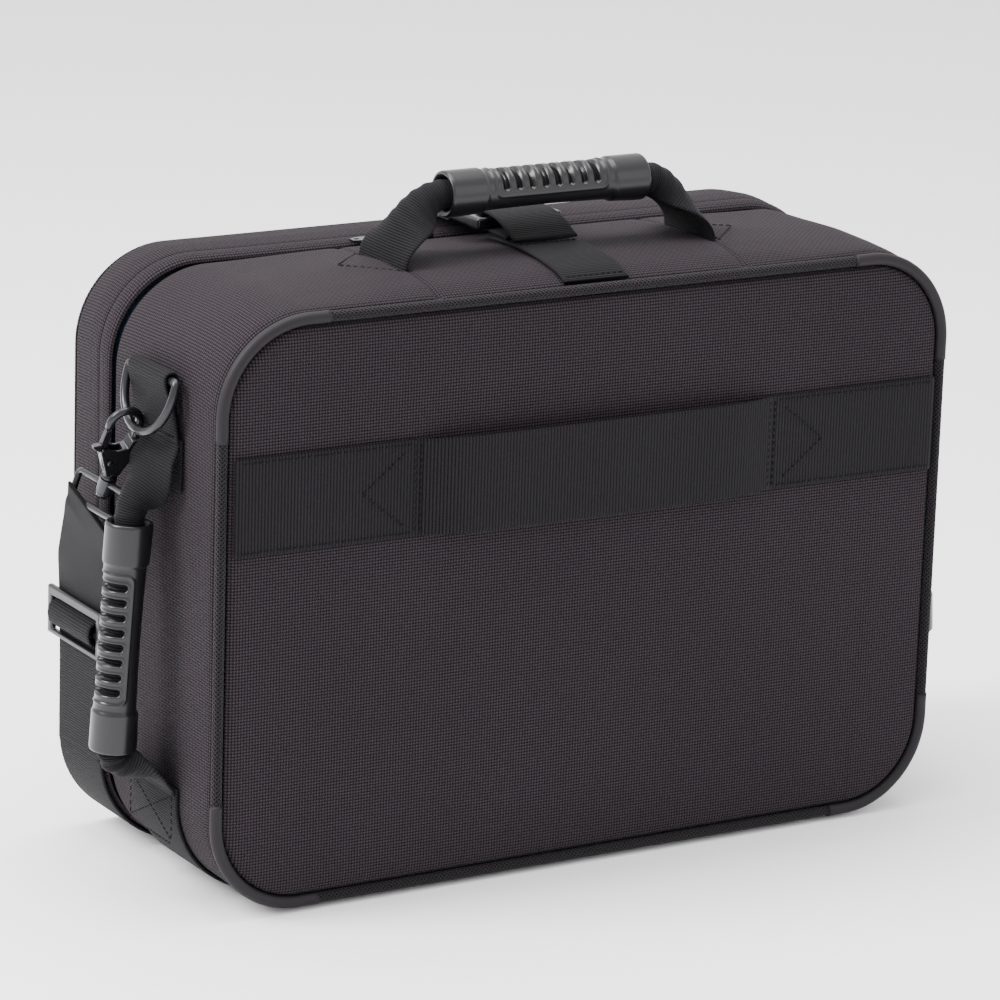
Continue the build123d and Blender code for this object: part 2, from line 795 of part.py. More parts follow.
# Sewn ends of the top webbing, lying under the top panel.
anchor_len = 34.0
anchor_z = lining_high + 0.4
anchor = block(
    top_slit_x - 6.0,
    top_slit_x - 6.0 + anchor_len,
    side_webbing_y - webbing_w / 2,
    side_webbing_y + webbing_w / 2,
    anchor_z,
    anchor_z + webbing_t,
)
write_pair("top_handle_anchor", anchor)

side_place = Pos(side_grip_x, side_grip_y, side_grip_z) * Rot(0, 90 - side_grip_tilt, 0)
side_grip = side_place * grip_solid
side_core = side_place * core_solid
write_pair("side_grip", side_grip)

tilt = math.radians(side_grip_tilt)
top_end = (side_grip_x - leg_start * math.sin(tilt), side_grip_y, side_grip_z + leg_start * math.cos(tilt))
low_end = (side_grip_x + leg_start * math.sin(tilt), side_grip_y, side_grip_z - leg_start * math.cos(tilt))
anchor_x = skin + webbing_t / 2 + 0.4
upper_base = (anchor_x + 3.2, side_webbing_y + 4.0, bar_z - 42.5)
lower_base = (anchor_x + 3.4, side_webbing_y, belly_high + 1.0)
upper_leg = tapered_leg(upper_base, webbing_w - 12, top_end, (2.0, 1.0, 0))
lower_leg = tapered_leg(lower_base, webbing_w - 4, low_end, (2.0, 0.0, 0))
write_pair("side_handle_webbing", one(side_core + upper_leg + lower_leg))

# ---- closure strap over the top, with a side-release buckle ----
buckle_w = 50.0
buckle_z = top_z + webbing_t + seat + fit + webbing_t + 3.3
buckle_t = 8.0
closure_front_y = 8.0
socket_y = (-66.0, -36.5)
plug_y = (-36.0, 2.0)


def top_height(y):
    """Height of the body's top fabric above the base at a place in depth."""
    points = [(s[0], s[3]) for s in body_sections]
    for (y1, z1), (y0, z0) in zip(points, points[1:]):
        if y0 <= y <= y1:
            return z0 + (z1 - z0) * (y - y0) / (y1 - y0)
    return points[0][1] if y > points[0][0] else points[-1][1]


def closure_strap_rear():
    """From the seam at the rear edge forwards over the crown, up to the buckle."""
    stations = [seam_y - 1.5, *[s[0] for s in body_sections[1:3]], closure_front_y]
    lower = [(y, top_height(y) + seat) for y in stations]
    upper_line = [(y, z + webbing_t) for y, z in reversed(lower)]
    face = make_face(Polyline(*lower, *upper_line, close=True))
    side = Plane(origin=(-closure_w / 2, 0, 0), x_dir=(0, 1, 0), z_dir=(1, 0, 0)) * face
    return extrude(side, closure_w)


write("closure_strap_rear", closure_strap_rear())

plug_low = buckle_z - buckle_t / 2
plug_high = buckle_z + buckle_t / 2
arm_half = buckle_w / 2 - 2.6
arm_half_w = 2.4
window_half = closure_w / 2 + 1.0


def buckle_plug():
    """Tongue half: a strap frame with a toothed bar, a centre guide and two side arms."""
    base = block(-buckle_w / 2, buckle_w / 2, -26.0, plug_y[1], plug_low + 1.0, plug_high - 1.0)
    window = block(-window_half, window_half, -19.0, -9.5, plug_low - 5, plug_high + 5)
    window_b = block(-window_half, window_half, -6.0, plug_y[1] - 3.5, plug_low - 5, plug_high + 5)
    guide = block(-4.0, 4.0, -50.0, -25.0, plug_low + 2.6, plug_high - 2.6)
    plug = base - window - window_b + guide
    for side in (-1, 1):
        mid = side * arm_half
        plug = plug + block(mid - arm_half_w, mid + arm_half_w, -52.0, -25.0, plug_low + 2.2, plug_high - 2.2)
    return one(plug)


def buckle_socket():
    """Sleeve half, open towards the tongue and at both sides, with a sewn-in bar."""
    low_y, high_y = socket_y[0], -27.5
    body = block(-buckle_w / 2, buckle_w / 2, low_y, high_y, plug_low, plug_high)
    mouth_half = arm_half + arm_half_w + 0.5
    mouth = block(-mouth_half, mouth_half, low_y + 12.0, high_y + 1, plug_low + 1.4, plug_high - 1.4)
    side_window = block(-buckle_w, buckle_w, -50.0, -38.0, plug_low + 1.4, plug_high - 1.4)
    strap_window = block(-window_half, window_half, low_y + 4.0, low_y + 8.5, plug_low - 5, plug_high + 5)
    return one(body - mouth - side_window - strap_window)


write("buckle_plug", buckle_plug())
write("buckle_socket", buckle_socket())


def plug_webbing():
    """End of the rear strap doubled round the plug's toothed bar."""
    x0 = -closure_w / 2
    z_low = plug_low + 1.0 - fit - webbing_t
    z_high = plug_high - 1.0 + fit + webbing_t
    y0, y1 = -13.0, 20.0
    lower = block(x0, -x0, y0 + 1.0, y1, z_low, z_low + webbing_t)
    upper = block(x0, -x0, y0 + 1.0, y1, z_high - webbing_t, z_high)
    front = block(x0, -x0, -12.5, -10.3, z_low, z_high)
    close_rear = block(x0, -x0, plug_y[1] + fit + 0.4, y1, z_low, z_high)
    return one(lower + upper + front + close_rear)


write("plug_webbing", plug_webbing())


def closure_strap_front():
    """Short webbing from the socket's bar down to the lid's top."""
    x0 = -closure_w / 2
    z_lid = edge_top + 4.3
    y_bar = socket_y[0] + 6.2
    riser = block(x0, -x0, y_bar - 1.0, y_bar + 1.0, z_lid, plug_high + 1.0)
    foot = block(x0, -x0, lid_front + 13.0, y_bar + 1.0, z_lid, z_lid + webbing_t * 0.8)
    return one(riser + foot)


write("closure_strap_front", closure_strap_front())



def shown(vector):
    return tuple(round(v, 3) for v in vector)


print("hook joint at", shown(to_hook(0, 0)), "axis", shown(hook_up))
print("gate joint at", shown(to_hook(rivet_u, rivet_w)), "axis", shown(hook_side))
print("zip pull pivot at height", round(pull_pivot_z, 3))
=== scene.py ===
import math

import bpy
import numpy as np
from mathutils import Matrix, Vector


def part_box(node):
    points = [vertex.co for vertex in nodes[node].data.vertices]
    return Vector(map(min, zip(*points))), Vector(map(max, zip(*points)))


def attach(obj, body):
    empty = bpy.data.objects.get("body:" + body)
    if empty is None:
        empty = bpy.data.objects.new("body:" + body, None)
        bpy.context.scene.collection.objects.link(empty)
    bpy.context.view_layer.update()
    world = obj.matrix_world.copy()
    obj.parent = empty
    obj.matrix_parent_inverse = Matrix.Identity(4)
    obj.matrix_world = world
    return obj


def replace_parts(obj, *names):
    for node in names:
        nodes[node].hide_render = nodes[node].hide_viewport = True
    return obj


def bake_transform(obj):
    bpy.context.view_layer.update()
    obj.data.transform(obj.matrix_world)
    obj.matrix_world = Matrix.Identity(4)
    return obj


# Flight bag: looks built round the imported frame. Lengths in the tables below are millimetres.

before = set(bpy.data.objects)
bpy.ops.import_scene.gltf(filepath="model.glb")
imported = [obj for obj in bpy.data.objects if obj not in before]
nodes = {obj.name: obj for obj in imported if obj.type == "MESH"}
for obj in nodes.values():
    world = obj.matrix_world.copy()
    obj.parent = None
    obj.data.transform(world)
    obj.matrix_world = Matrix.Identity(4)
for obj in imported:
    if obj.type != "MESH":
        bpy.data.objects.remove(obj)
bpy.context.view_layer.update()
MM = 0.001
WEAVE = "weave"  # per-corner vector: distance along and across a piece, in metres

# ---- sizes shared with the case ----
BODY_HALF = 214.0
LID_HALF = 215.0
BASE_Z = 2.0
EDGE_TOP = 307.5
CORNER_R = 50.0
SLIT = 90.0
STRAIGHT = BODY_HALF - CORNER_R
STRAP_Y = -61.0
WEB_Y = 21.5
ACROSS_Y = (0.0, 1.0, 0.0)
SIDES = ((1, "right"), (-1, "left"))
PIPING_HALF, PIPING_CORNER, PIPING_Y, PIPING_R = 211.7, 46.7, 81.2, 2.75


# ---- materials ----
class Nodes:
    """Small helper round a material's node tree."""

    def __init__(self, name):
        self.material = bpy.data.materials.new(name)
        self.material.use_nodes = True
        self.tree = self.material.node_tree
        self.shader = self.tree.nodes["Principled BSDF"]

    def add(self, kind, **settings):
        node = self.tree.nodes.new(kind)
        for key, value in settings.items():
            setattr(node, key, value)
        return node

    def feed(self, value, socket):
        if isinstance(value, bpy.types.NodeSocket):
            self.tree.links.new(value, socket)
        else:
            socket.default_value = value

    def math(self, operation, a, b=0.0, c=0.0):
        node = self.add("ShaderNodeMath", operation=operation)
        for value, socket in zip((a, b, c), node.inputs):
            self.feed(value, socket)
        return node.outputs[0]

    def mul(self, a, b):
        return self.math("MULTIPLY", a, b)

    def ramp(self, value, low, high):
        node = self.add("ShaderNodeMapRange")
        self.feed(value, node.inputs["Value"])
        node.inputs["To Min"].default_value = low
        node.inputs["To Max"].default_value = high
        return node.outputs["Result"]

    def noise(self, vector, scale, detail=2.0):
        node = self.add("ShaderNodeTexNoise")
        self.feed(vector, node.inputs["Vector"])
        node.inputs["Scale"].default_value = scale
        node.inputs["Detail"].default_value = detail
        return node.outputs["Fac"]

    def place(self):
        return self.add("ShaderNodeTexCoord").outputs["Object"]

    def weave(self):
        """Distances along and across the piece, in millimetres."""
        attribute = self.add("ShaderNodeAttribute", attribute_name=WEAVE)
        split = self.add("ShaderNodeSeparateXYZ")
        self.feed(attribute.outputs["Vector"], split.inputs[0])
        along = self.mul(split.outputs[0], 1000.0)
        across = self.mul(split.outputs[1], 1000.0)
        return along, across

    def tint(self, base, shade):
        """Base colour multiplied by a grey value."""
        node = self.add("ShaderNodeMix", data_type="RGBA", blend_type="MULTIPLY")
        node.inputs[0].default_value = 1.0
        node.inputs[6].default_value = (*base, 1.0)
        grey = self.add("ShaderNodeCombineColor")
        for socket in grey.inputs:
            if socket.name in ("Red", "Green", "Blue"):
                self.feed(shade, socket)
        self.feed(grey.outputs[0], node.inputs[7])
        self.feed(node.outputs[2], self.shader.inputs["Base Color"])

    def bump(self, height, depth, strength=1.0):
        node = self.add("ShaderNodeBump")
        node.inputs["Strength"].default_value = strength
        node.inputs["Distance"].default_value = depth
        self.feed(height, node.inputs["Height"])
        self.feed(node.outputs[0], self.shader.inputs["Normal"])

    def finish(self, **constants):
        for key, value in constants.items():
            self.shader.inputs[key.replace("_", " ")].default_value = value
        return self.material


def basket(n, along, across, pitch):
    """Height of a basket weave: bundles that run along and across by turns."""
    u = n.math("SINE", n.mul(along, math.pi / pitch))
    v = n.math("SINE", n.mul(across, math.pi / pitch))
    turn = n.math("GREATER_THAN", n.mul(u, v), 0.0)
    au = n.math("ABSOLUTE", u)
    av = n.math("ABSOLUTE", v)
    one_way = n.mul(n.math("POWER", av, 0.55), n.math("MULTIPLY_ADD", au, 0.3, 0.7))
    other = n.mul(n.math("POWER", au, 0.55), n.math("MULTIPLY_ADD", av, 0.3, 0.7))
    picked = n.mul(n.math("SUBTRACT", one_way, other), turn)
    return n.math("ADD", other, picked)


def cloth_look(n, base, height, depth, uneven, thread, rough, sheen, fuzz, tint):
    """Colour and relief from thread height; uneven is (patch scale, amount, grain scale). Thread height also
    paints shade into the gaps between threads and highlight onto their tops.
    """
    patch, amount, grain = uneven
    slow = n.ramp(n.noise(n.place(), patch, 3.0), 1 - amount, 1 + amount)
    fine = n.ramp(n.noise(n.place(), grain, 1.0), 0.8, 1.2)
    power, painted_highlight_gain, painted_gap_shade = thread
    # Painted shade and highlight: gaps between threads go near black, thread tops are lit to about twice the
    # base colour.
    shade = n.math("MULTIPLY_ADD", n.math("POWER", height, power), painted_highlight_gain, painted_gap_shade)
    n.tint(base, n.mul(n.mul(slow, fine), shade))
    n.bump(height, depth)
    look = dict(Roughness=rough, Sheen_Weight=sheen, Sheen_Roughness=fuzz, Specular_IOR_Level=0.07)
    return n.finish(Sheen_Tint=tint, **look)


def fabric(name, base, pitch=1.6, depth=0.0006, sheen=0.02, use_place=False, rough=0.78):
    n = Nodes(name)
    if use_place:
        split = n.add("ShaderNodeSeparateXYZ")
        n.feed(n.place(), split.inputs[0])
        along = n.mul(n.math("ADD", split.outputs[0], split.outputs[1]), 1000.0)
        across = n.mul(split.outputs[2], 1000.0)
    else:
        along, across = n.weave()
    height = basket(n, along, across, pitch)
    tint = (0.9, 0.85, 0.95, 1.0)
    # (2.6, 2.1, 0.03) sets the painted shade in the weave's gaps and the painted highlight on its tops.
    return cloth_look(n, base, height, depth, (9.0, 0.14, 700.0), (2.6, 2.1, 0.03), rough, sheen, 0.45, tint)


def ribbed(name, base, pitch=1.4, depth=0.0005, sheen=0.02, rough=0.66):
    """Webbing: ribs across the width, with fine warp threads along it."""
    n = Nodes(name)
    along, across = n.weave()
    rib = n.math("POWER", n.math("ABSOLUTE", n.math("SINE", n.mul(along, math.pi / pitch))), 0.6)
    warp = n.math("ABSOLUTE", n.math("SINE", n.mul(across, math.pi / 0.8)))
    height = n.math("MULTIPLY_ADD", warp, 0.18, n.mul(rib, 0.82))
    tint = (0.95, 0.93, 1.0, 1.0)
    # (2.2, 1.9, 0.04) sets the painted shade between ribs and the painted highlight on rib tops.
    return cloth_look(n, base, height, depth, (14.0, 0.18, 900.0), (2.2, 1.9, 0.04), rough, sheen, 0.4, tint)


def braided(name, base):
    n = Nodes(name)
    along, across = n.weave()
    a = n.math("SINE", n.mul(n.math("ADD", along, across), math.pi / 2.3))
    b = n.math("SINE", n.mul(n.math("SUBTRACT", along, across), math.pi / 2.3))
    height = n.math("MAXIMUM", n.math("ABSOLUTE", a), n.math("ABSOLUTE", b))
    deep = n.math("POWER", height, 3.0)
    # Painted shade in the grooves between the braid's strands and painted highlight on their crowns.
    n.tint(base, n.math("MULTIPLY_ADD", deep, 1.9, 0.04))
    n.bump(deep, 0.0008)
    return n.finish(Roughness=0.72, Sheen_Weight=0.05, Sheen_Roughness=0.4, Specular_IOR_Level=0.07)


def moulded(name, base, rough, grain, scale, metallic=0.0, coat=0.0, worn=0.0, gloss=0.35):
    """Plastic, rubber or coated metal with a fine moulded grain and faint wear on its edges."""
    n = Nodes(name)
    place = n.place()
    slow = n.ramp(n.noise(place, 30.0, 3.0), 0.85, 1.15)
    edge = n.add("ShaderNodeNewGeometry").outputs["Pointiness"]
    wear = n.mul(n.math("GREATER_THAN", edge, 0.56), worn)
    n.tint(base, n.math("ADD", slow, wear))
    n.feed(n.ramp(n.noise(place, 60.0, 4.0), rough - 0.06, rough + 0.08), n.shader.inputs["Roughness"])
    n.bump(n.noise(place, scale, 2.0), grain)
    return n.finish(Metallic=metallic, Coat_Weight=coat, Coat_Roughness=0.2, Specular_IOR_Level=gloss)


def plain_thread(name, base):
    n = Nodes(name)
    n.tint(base, n.ramp(n.noise(n.place(), 1500.0, 2.0), 0.6, 1.4))
    n.bump(n.noise(n.place(), 2500.0, 1.0), 0.0001)
    return n.finish(Roughness=0.8, Specular_IOR_Level=0.08)


M = {
    "body": fabric("case_fabric", (0.0178, 0.0138, 0.0166)),
    "webbing": ribbed("webbing", (0.0062, 0.0057, 0.0067)),
    "wide": ribbed("band_webbing", (0.0080, 0.0071, 0.0084), pitch=1.8),
    "piping": braided("piping_braid", (0.0090, 0.0074, 0.0088)),
    "rubber": moulded("guard_rubber", (0.0110, 0.0095, 0.0112), 0.55, 0.00006, 900.0, worn=0.3, gloss=0.16),
    "grip": moulded("grip_plastic", (0.0050, 0.0050, 0.0062), 0.3, 0.00004, 700.0, coat=0.1, worn=0.3),
    "buckle": moulded("buckle_plastic", (0.0050, 0.0050, 0.0058), 0.24, 0.00003, 500.0, coat=0.3),
    "metal": moulded(
        "black_metal", (0.014, 0.014, 0.017), 0.27, 0.00002, 800.0, metallic=0.55, coat=0.2, worn=0.5
    ),
    "thread": plain_thread("stitch_thread", (0.0085, 0.0075, 0.0090)),
    "tape": fabric("zip_tape", (0.010, 0.030, 0.055), pitch=0.8, depth=0.0001, use_place=True),
    "lining": fabric("lining", (0.09, 0.09, 0.095), pitch=0.7, depth=0.0001, use_place=True),
    "pad": fabric("divider_cover", (0.07, 0.07, 0.076), pitch=0.6, depth=0.00015, use_place=True, sheen=0.5),
    "board": moulded("board", (0.03, 0.03, 0.03), 0.6, 0.00008, 400.0),
}


# ---- mesh building ----
def vec(values):
    return np.asarray(values, float)


def smoothstep(t):
    return t * t * (3 - 2 * t)


def add_object(name, data):
    obj = bpy.data.objects.new(name, data)
    bpy.context.scene.collection.objects.link(obj)
    return obj


def cover(mesh, material):
    mesh.materials.clear()
    mesh.materials.append(material)


def dress(mesh, material):
    cover(mesh, material)
    mesh.polygons.foreach_set("use_smooth", [True] * len(mesh.polygons))


def build(name, points, faces, corners, material, body, second=None):
    """Mesh object from millimetre points, with its weave distances on the corners."""
    mesh = bpy.data.meshes.new(name)
    mesh.from_pydata((vec(points) * MM).tolist(), [], faces)
    dress(mesh, material)
    if corners is not None:
        layer = mesh.attributes.new(WEAVE, "FLOAT_VECTOR", "CORNER")
        layer.data.foreach_set("vector", (vec(corners) * MM).ravel())
    if second is not None:
        mesh.materials.append(second)
    obj = add_object(name, mesh)
    if body:
        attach(obj, body)
    return obj


def lengths(p):
    """Running length along a polyline."""
    steps = np.linalg.norm(np.diff(p, axis=0), axis=1)
    return np.concatenate([[0.0], np.cumsum(steps)])


def grid(
    name, p, material, body, slot, close_i=False, close_j=False, caps=False, uv=None, flip=False, second=None
):
    """Skin over a grid of points p[i][j]; uv gives the two weave distances at each point."""
    p = vec(p)
    n, m = p.shape[:2]
    if uv is None:
        row = p[n // 2] if not close_j else np.vstack([p[n // 2], p[n // 2][:1]])
        col = p[:, 0] if not close_i else np.vstack([p[:, 0], p[:1, 0]])
        v_len, u_len = lengths(row), lengths(col)
    else:
        u_len, v_len = uv
    faces, corners = [], []
    for i in range(n if close_i else n - 1):
        for j in range(m if close_j else m - 1):
            a, b = (i + 1) % n, (j + 1) % m
            quad = [(i, j, i, j), (a, j, i + 1, j), (a, b, i + 1, j + 1), (i, b, i, j + 1)]
            if flip:
                quad = quad[::-1]
            faces.append([q[0] * m + q[1] for q in quad])
            corners += [(u_len[q[2]], v_len[q[3]], 0.0) for q in quad]
    if caps and close_j and not close_i:
        for i, order in ((0, 1), (n - 1, -1)):
            ring = [i * m + j for j in range(m)][:: order if not flip else -order]
            faces.append(ring)
            corners += [(u_len[i], v_len[r - i * m], 0.0) for r in ring]
    return build(name, p.reshape(-1, 3), faces, corners, material, body, second)


def smooth(points, step):
    """Catmull-Rom line through the points, sampled about every step."""
    p = vec(points)
    q = np.vstack([2 * p[0] - p[1], p, 2 * p[-1] - p[-2]])
    out = []
    for k in range(1, len(q) - 2):
        count = max(2, int(np.linalg.norm(q[k + 1] - q[k]) / step))
        for t in np.arange(count) / count:
            a, b, c, d = q[k - 1 : k + 3]
            square, cube = 2 * a - 5 * b + 4 * c - d, 3 * b - a - 3 * c + d
            out.append(0.5 * (2 * b + (c - a) * t + square * t * t + cube * t**3))
    out.append(p[-1])
    return np.array(out)


def unit(v):
    v = vec(v)
    return v / np.linalg.norm(v, axis=-1, keepdims=True)


def tangents(p):
    return unit(np.gradient(p, axis=0))


STRAP_ACROSS = np.array([-1, -0.99, -0.965, -0.92, -0.7, -0.35, 0, 0.35, 0.7, 0.92, 0.965, 0.99, 1])
STRAP_HIGH = np.array([0, 0.62, 0.9, 1.0, 1, 1, 1, 1, 1, 1.0, 0.9, 0.62, 0])


def strap(name, path, side, width, thick, body, out=1.0, waves=0.0, look="webbing"):
    """Flat webbing along a path: side is its width direction, out says which face is up."""
    p = vec(path)
    n = len(p)
    t = tangents(p)
    w = unit(np.broadcast_to(vec(side), p.shape))
    up = unit(np.cross(t, w)) * out
    w = unit(np.cross(up, t)) * out
    wide = np.broadcast_to(vec(width), (n,))
    across = np.concatenate([STRAP_ACROSS, STRAP_ACROSS[-2:0:-1]])
    high = np.concatenate([STRAP_HIGH, -STRAP_HIGH[-2:0:-1]])
    s = lengths(p)
    ripple = waves * np.sin(s[:, None] / 11.0 + across[None] * 2.0) * np.abs(across[None]) ** 2
    ring = (
        p[:, None]
        + w[:, None] * (across[None, :, None] * wide[:, None, None] / 2)
        + up[:, None] * ((high[None] * thick / 2 + ripple)[:, :, None])
    )
    v = np.concatenate([across * wide.mean() / 2, [-wide.mean() / 2]])
    return grid(name, ring, M[look], body, "webbing", close_j=True, caps=True, uv=(s, v))


def rolled(name, apex, normal, turn, width, thick, wrinkle):
    """Webbing that rolls up along its length; turn is its arc at each point, in radians."""
    a = vec(apex)
    n_dir = unit(normal)
    w = unit(np.broadcast_to(vec(ACROSS_Y), a.shape))
    w = unit(w - n_dir * np.sum(w * n_dir, axis=1, keepdims=True))
    phi = np.maximum(vec(turn), 0.04)
    rho = vec(width) / phi
    k = 33
    share = np.linspace(-0.5, 0.5, k)
    lift = np.ones(k)
    lift[[0, -1]] = 0.4
    rings = []
    s = lengths(a)
    for i in range(len(a)):
        ang = share * phi[i]
        bend = wrinkle * np.sin(s[i] * 0.8 + share * 9.0) * min(1.0, phi[i] / 3.0)
        outer, inner = rho[i] + bend, rho[i] - thick
        mid = (outer + inner) / 2
        c = a[i] - n_dir[i] * rho[i]
        ro = mid + (outer - mid) * lift
        ri = (mid - (mid - inner) * lift)[::-1]
        up = np.outer(np.cos(ang), n_dir[i]) + np.outer(np.sin(ang), w[i])
        rings.append(np.vstack([c + up * ro[:, None], c + up[::-1] * ri[:, None]]))
    v = np.concatenate([share * 50, share[::-1] * 50, [-25.0]])
    return grid(name, rings, M["webbing"], None, "webbing", close_j=True, caps=True, uv=(s, v))


def stitches(name, runs, body, pitch=3.3, length=2.3, r=0.38, sink=0.1):
    """Thread stitches along polylines; each run is (points, outward normal)."""
    points, faces = [], []
    rings = [(-0.5, 0.35), (-0.38, 0.9), (0.0, 1.0), (0.38, 0.9), (0.5, 0.35)]
    for line, out in runs:
        line = vec(line)
        s = lengths(line)
        count = int(s[-1] / pitch)
        for q in range(count):
            mid = (q + 0.5) * s[-1] / count
            ends = [np.array([np.interp(mid + e, s, line[:, a]) for a in range(3)]) for e in (-0.6, 0.6)]
            t = unit(ends[1] - ends[0])
            c = (ends[0] + ends[1]) / 2
            up = unit(vec(out) - t * np.dot(out, t))
            w = np.cross(t, up)
            base = len(points)
            for along, fat in rings:
                low = r * (0.35 if abs(along) > 0.45 else 1.0) - r - sink
                for g in range(6):
                    ang = g * math.pi / 3
                    spot = w * math.cos(ang) + up * math.sin(ang)
                    points.append(c + t * along * length + spot * r * fat + up * (low + r * 0.6))
            for a in range(len(rings) - 1):
                for g in range(6):
                    h = (g + 1) % 6
                    b = base + a * 6
                    faces.append([b + g, b + 6 + g, b + 6 + h, b + h])
            faces.append([base + g for g in range(6)])
            faces.append([base + (len(rings) - 1) * 6 + g for g in range(5, -1, -1)])
    return build(name, points, faces, None, M["thread"], body)


# ---- padded case walls ----
def spread(a, b, count):
    return np.linspace(a, b, count, endpoint=False)


def stations(parts):
    """Rows of (ex, ez, nx, nz) round the case outline, for the named stretches."""
    rows = []
    for part in parts:
        if part[0] == "flat":
            _, ez, a, b, count = part
            rows += [(ex, ez, 0.0, ez) for ex in spread(a, b, count)]
        elif part[0] == "side":
            _, ex, a, b, count = part
            rows += [(ex, ez, ex, 0.0) for ez in spread(a, b, count)]
        else:
            _, ex, ez, a, b = part
            for ang in spread(math.radians(a), math.radians(b), 26):
                rows.append((ex, ez, math.cos(ang), math.sin(ang)))
    return rows


CUT = SLIT / STRAIGHT
RIGHT = stations(
    [("flat", -1, CUT, 1, 26), ("arc", 1, -1, -90, 0), ("side", 1, -1, 1, 70), ("arc", 1, 1, 0, 90)]
    + [("flat", 1, 1, CUT, 26)]
) + [(CUT, 1, 0.0, 1.0)]
TOP = stations([("flat", 1, CUT, -CUT, 60)]) + [(-CUT, 1, 0.0, 1.0)]
BOTTOM = stations([("flat", -1, -CUT, CUT, 40)]) + [(CUT, -1, 0.0, -1.0)]
LEFT = [(-a, b, -c, d) for a, b, c, d in RIGHT][::-1]
CROWN_Y = [-36.25, -32.75, -26.0, 10.0, 25.0, 50.0, 66.0, 78.0, 84.0]
CROWN_Z = [307.5, 307.8, 310.2, 313.2, 314.2, 313.2, 310.6, 306.2, 305.0]
LID_Y = [-83.0, -76.0, -58.0, -40.0, -36.25]
LID_Z = [308.0, 310.0, 311.3, 309.9, 308.6]


def body_dims(y, ex, ez):
    crown = np.interp(y, CROWN_Y, CROWN_Z) - EDGE_TOP
    fade = np.clip((abs(ex) - 0.55) / 0.45, 0, 1)
    keep = 1 - 0.6 * fade * fade * (3 - 2 * fade)
    high = EDGE_TOP + crown * (keep if crown > 0 else 1.0)
    return BODY_HALF, BASE_Z, high, CORNER_R


def lid_dims(y, ex, ez):
    high = np.interp(y, LID_Y, LID_Z)
    half = LID_HALF - np.clip((-58.0 - y) / 18.0, 0, 1)
    return half, BASE_Z, high, CORNER_R


def spot(station, y, inset, dims):
    ex, ez, nx, nz = station
    half, low, high, r = dims(y, ex, ez)
    r_in = r - inset
    mid, tall = (low + high) / 2, (high - low) / 2
    return (ex * (half - r) + r_in * nx, y, mid + ez * (tall - r) + r_in * nz)


def wall(name, rows, profile, dims, body, pinch=0.9, swell=None):
    """Closed padded wall: a closed (y, inset) profile taken along the outline stations."""
    rough = np.array([spot(r, 0.0, 0.0, body_dims) for r in rows])
    s = lengths(rough)
    end = np.minimum(s, s[-1] - s)
    out = []
    for i, station in enumerate(rows):
        ring = []
        for y, inset in profile:
            extra = pinch * math.exp(-end[i] / 1.6) if inset < 2 else 0.0
            wave = 0.25 * math.sin(s[i] / 31.0 + y / 17.0) * math.sin(y / 23.0 + 1.0)
            add = swell(station, y) if swell and inset < 1 else 0.0
            ring.append(spot(station, y, inset + extra + (0.25 + wave if inset < 1 else 0.0) - add, dims))
        out.append(ring)
    depth = lengths(np.array([(0, y, d) for y, d in profile] + [(0, *profile[0])], float))
    return grid(name, out, M["body"], body, "body_fabric", close_j=True, caps=True, uv=(s, depth), flip=True)


BODY_PROFILE = (
    [(77.7, 3.6), (77.6, 2.4), (77.0, 1.3), (75.8, 0.5), (74.0, 0.1)]
    + [(y, 0.0) for y in np.arange(71.0, -25.0, -4.0)]
    + [(-27.5, 0.1), (-29.5, 0.35), (-31.2, 0.9), (-32.3, 1.7), (-32.7, 2.4), (-32.3, 3.0), (-30.0, 3.0)]
    + [(-26.1, 3.0), (-26.0, 6.0), (-10.0, 6.0), (30.0, 6.0), (70.0, 6.0), (77.7, 6.0)]
)
LID_PROFILE = (
    [(-42.9, 6.0), (-42.8, 3.0), (-39.0, 3.0), (-36.7, 2.9), (-36.3, 2.2), (-36.6, 1.3), (-37.6, 0.5)]
    + [(-39.5, 0.05), (-42.0, -0.15), (-44.5, -0.1), (-46.3, 0.15), (-47.0, 0.75), (-47.7, 0.15)]
    + [(-50.0, 0.0)]
    + [(y, 0.0) for y in np.arange(-53.0, -74.0, -3.0)]
    + [(-74.6, 0.1), (-75.5, 0.5), (-75.9, 1.4), (-75.9, 6.0), (-60.0, 6.0)]
)
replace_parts(wall("body_top", TOP, BODY_PROFILE, body_dims, "main_body"), "body_top_panel")
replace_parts(wall("body_floor", BOTTOM, BODY_PROFILE, body_dims, "main_body"), "body_bottom_panel")
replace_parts(wall("body_side_right", RIGHT, BODY_PROFILE, body_dims, "main_body"), "body_side_gusset_right")
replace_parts(wall("body_side_left", LEFT, BODY_PROFILE, body_dims, "main_body"), "body_side_gusset_left")

LID_UP = stations(
    [("side", 1, 0, 1, 40), ("arc", 1, 1, 0, 90), ("flat", 1, 1, -1, 100), ("arc", -1, 1, 90, 180)]
    + [("side", -1, 1, 0, 40)]
) + [(-1, 0, -1.0, 0.0)]
LID_LOW = stations(
    [("side", -1, 0, -1, 40), ("arc", -1, -1, 180, 270), ("flat", -1, -1, 1, 100), ("arc", 1, -1, -90, 0)]
    + [("side", 1, -1, 0, 40)]
) + [(1, 0, 1.0, 0.0)]
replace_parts(wall("lid_wall_upper", LID_UP, LID_PROFILE, lid_dims, "lid", pinch=0.3), "lid_gusset_upper")
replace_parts(wall("lid_wall_lower", LID_LOW, LID_PROFILE, lid_dims, "lid", pinch=0.3), "lid_gusset_lower")


def outline(flat, side, extra=()):
    """Stations once round the case, from the middle of its foot; flat counts half a width."""
    return stations(
        [("flat", -1, 0, 1, flat), ("arc", 1, -1, -90, 0), ("side", 1, -1, 1, side), ("arc", 1, 1, 0, 90)]
        + [("flat", 1, 1, -1, 2 * flat), ("arc", -1, 1, 90, 180), ("side", -1, 1, -1, side)]
        + [("arc", -1, -1, 180, 270), *extra, ("flat", -1, -1, 0, flat)]
    )


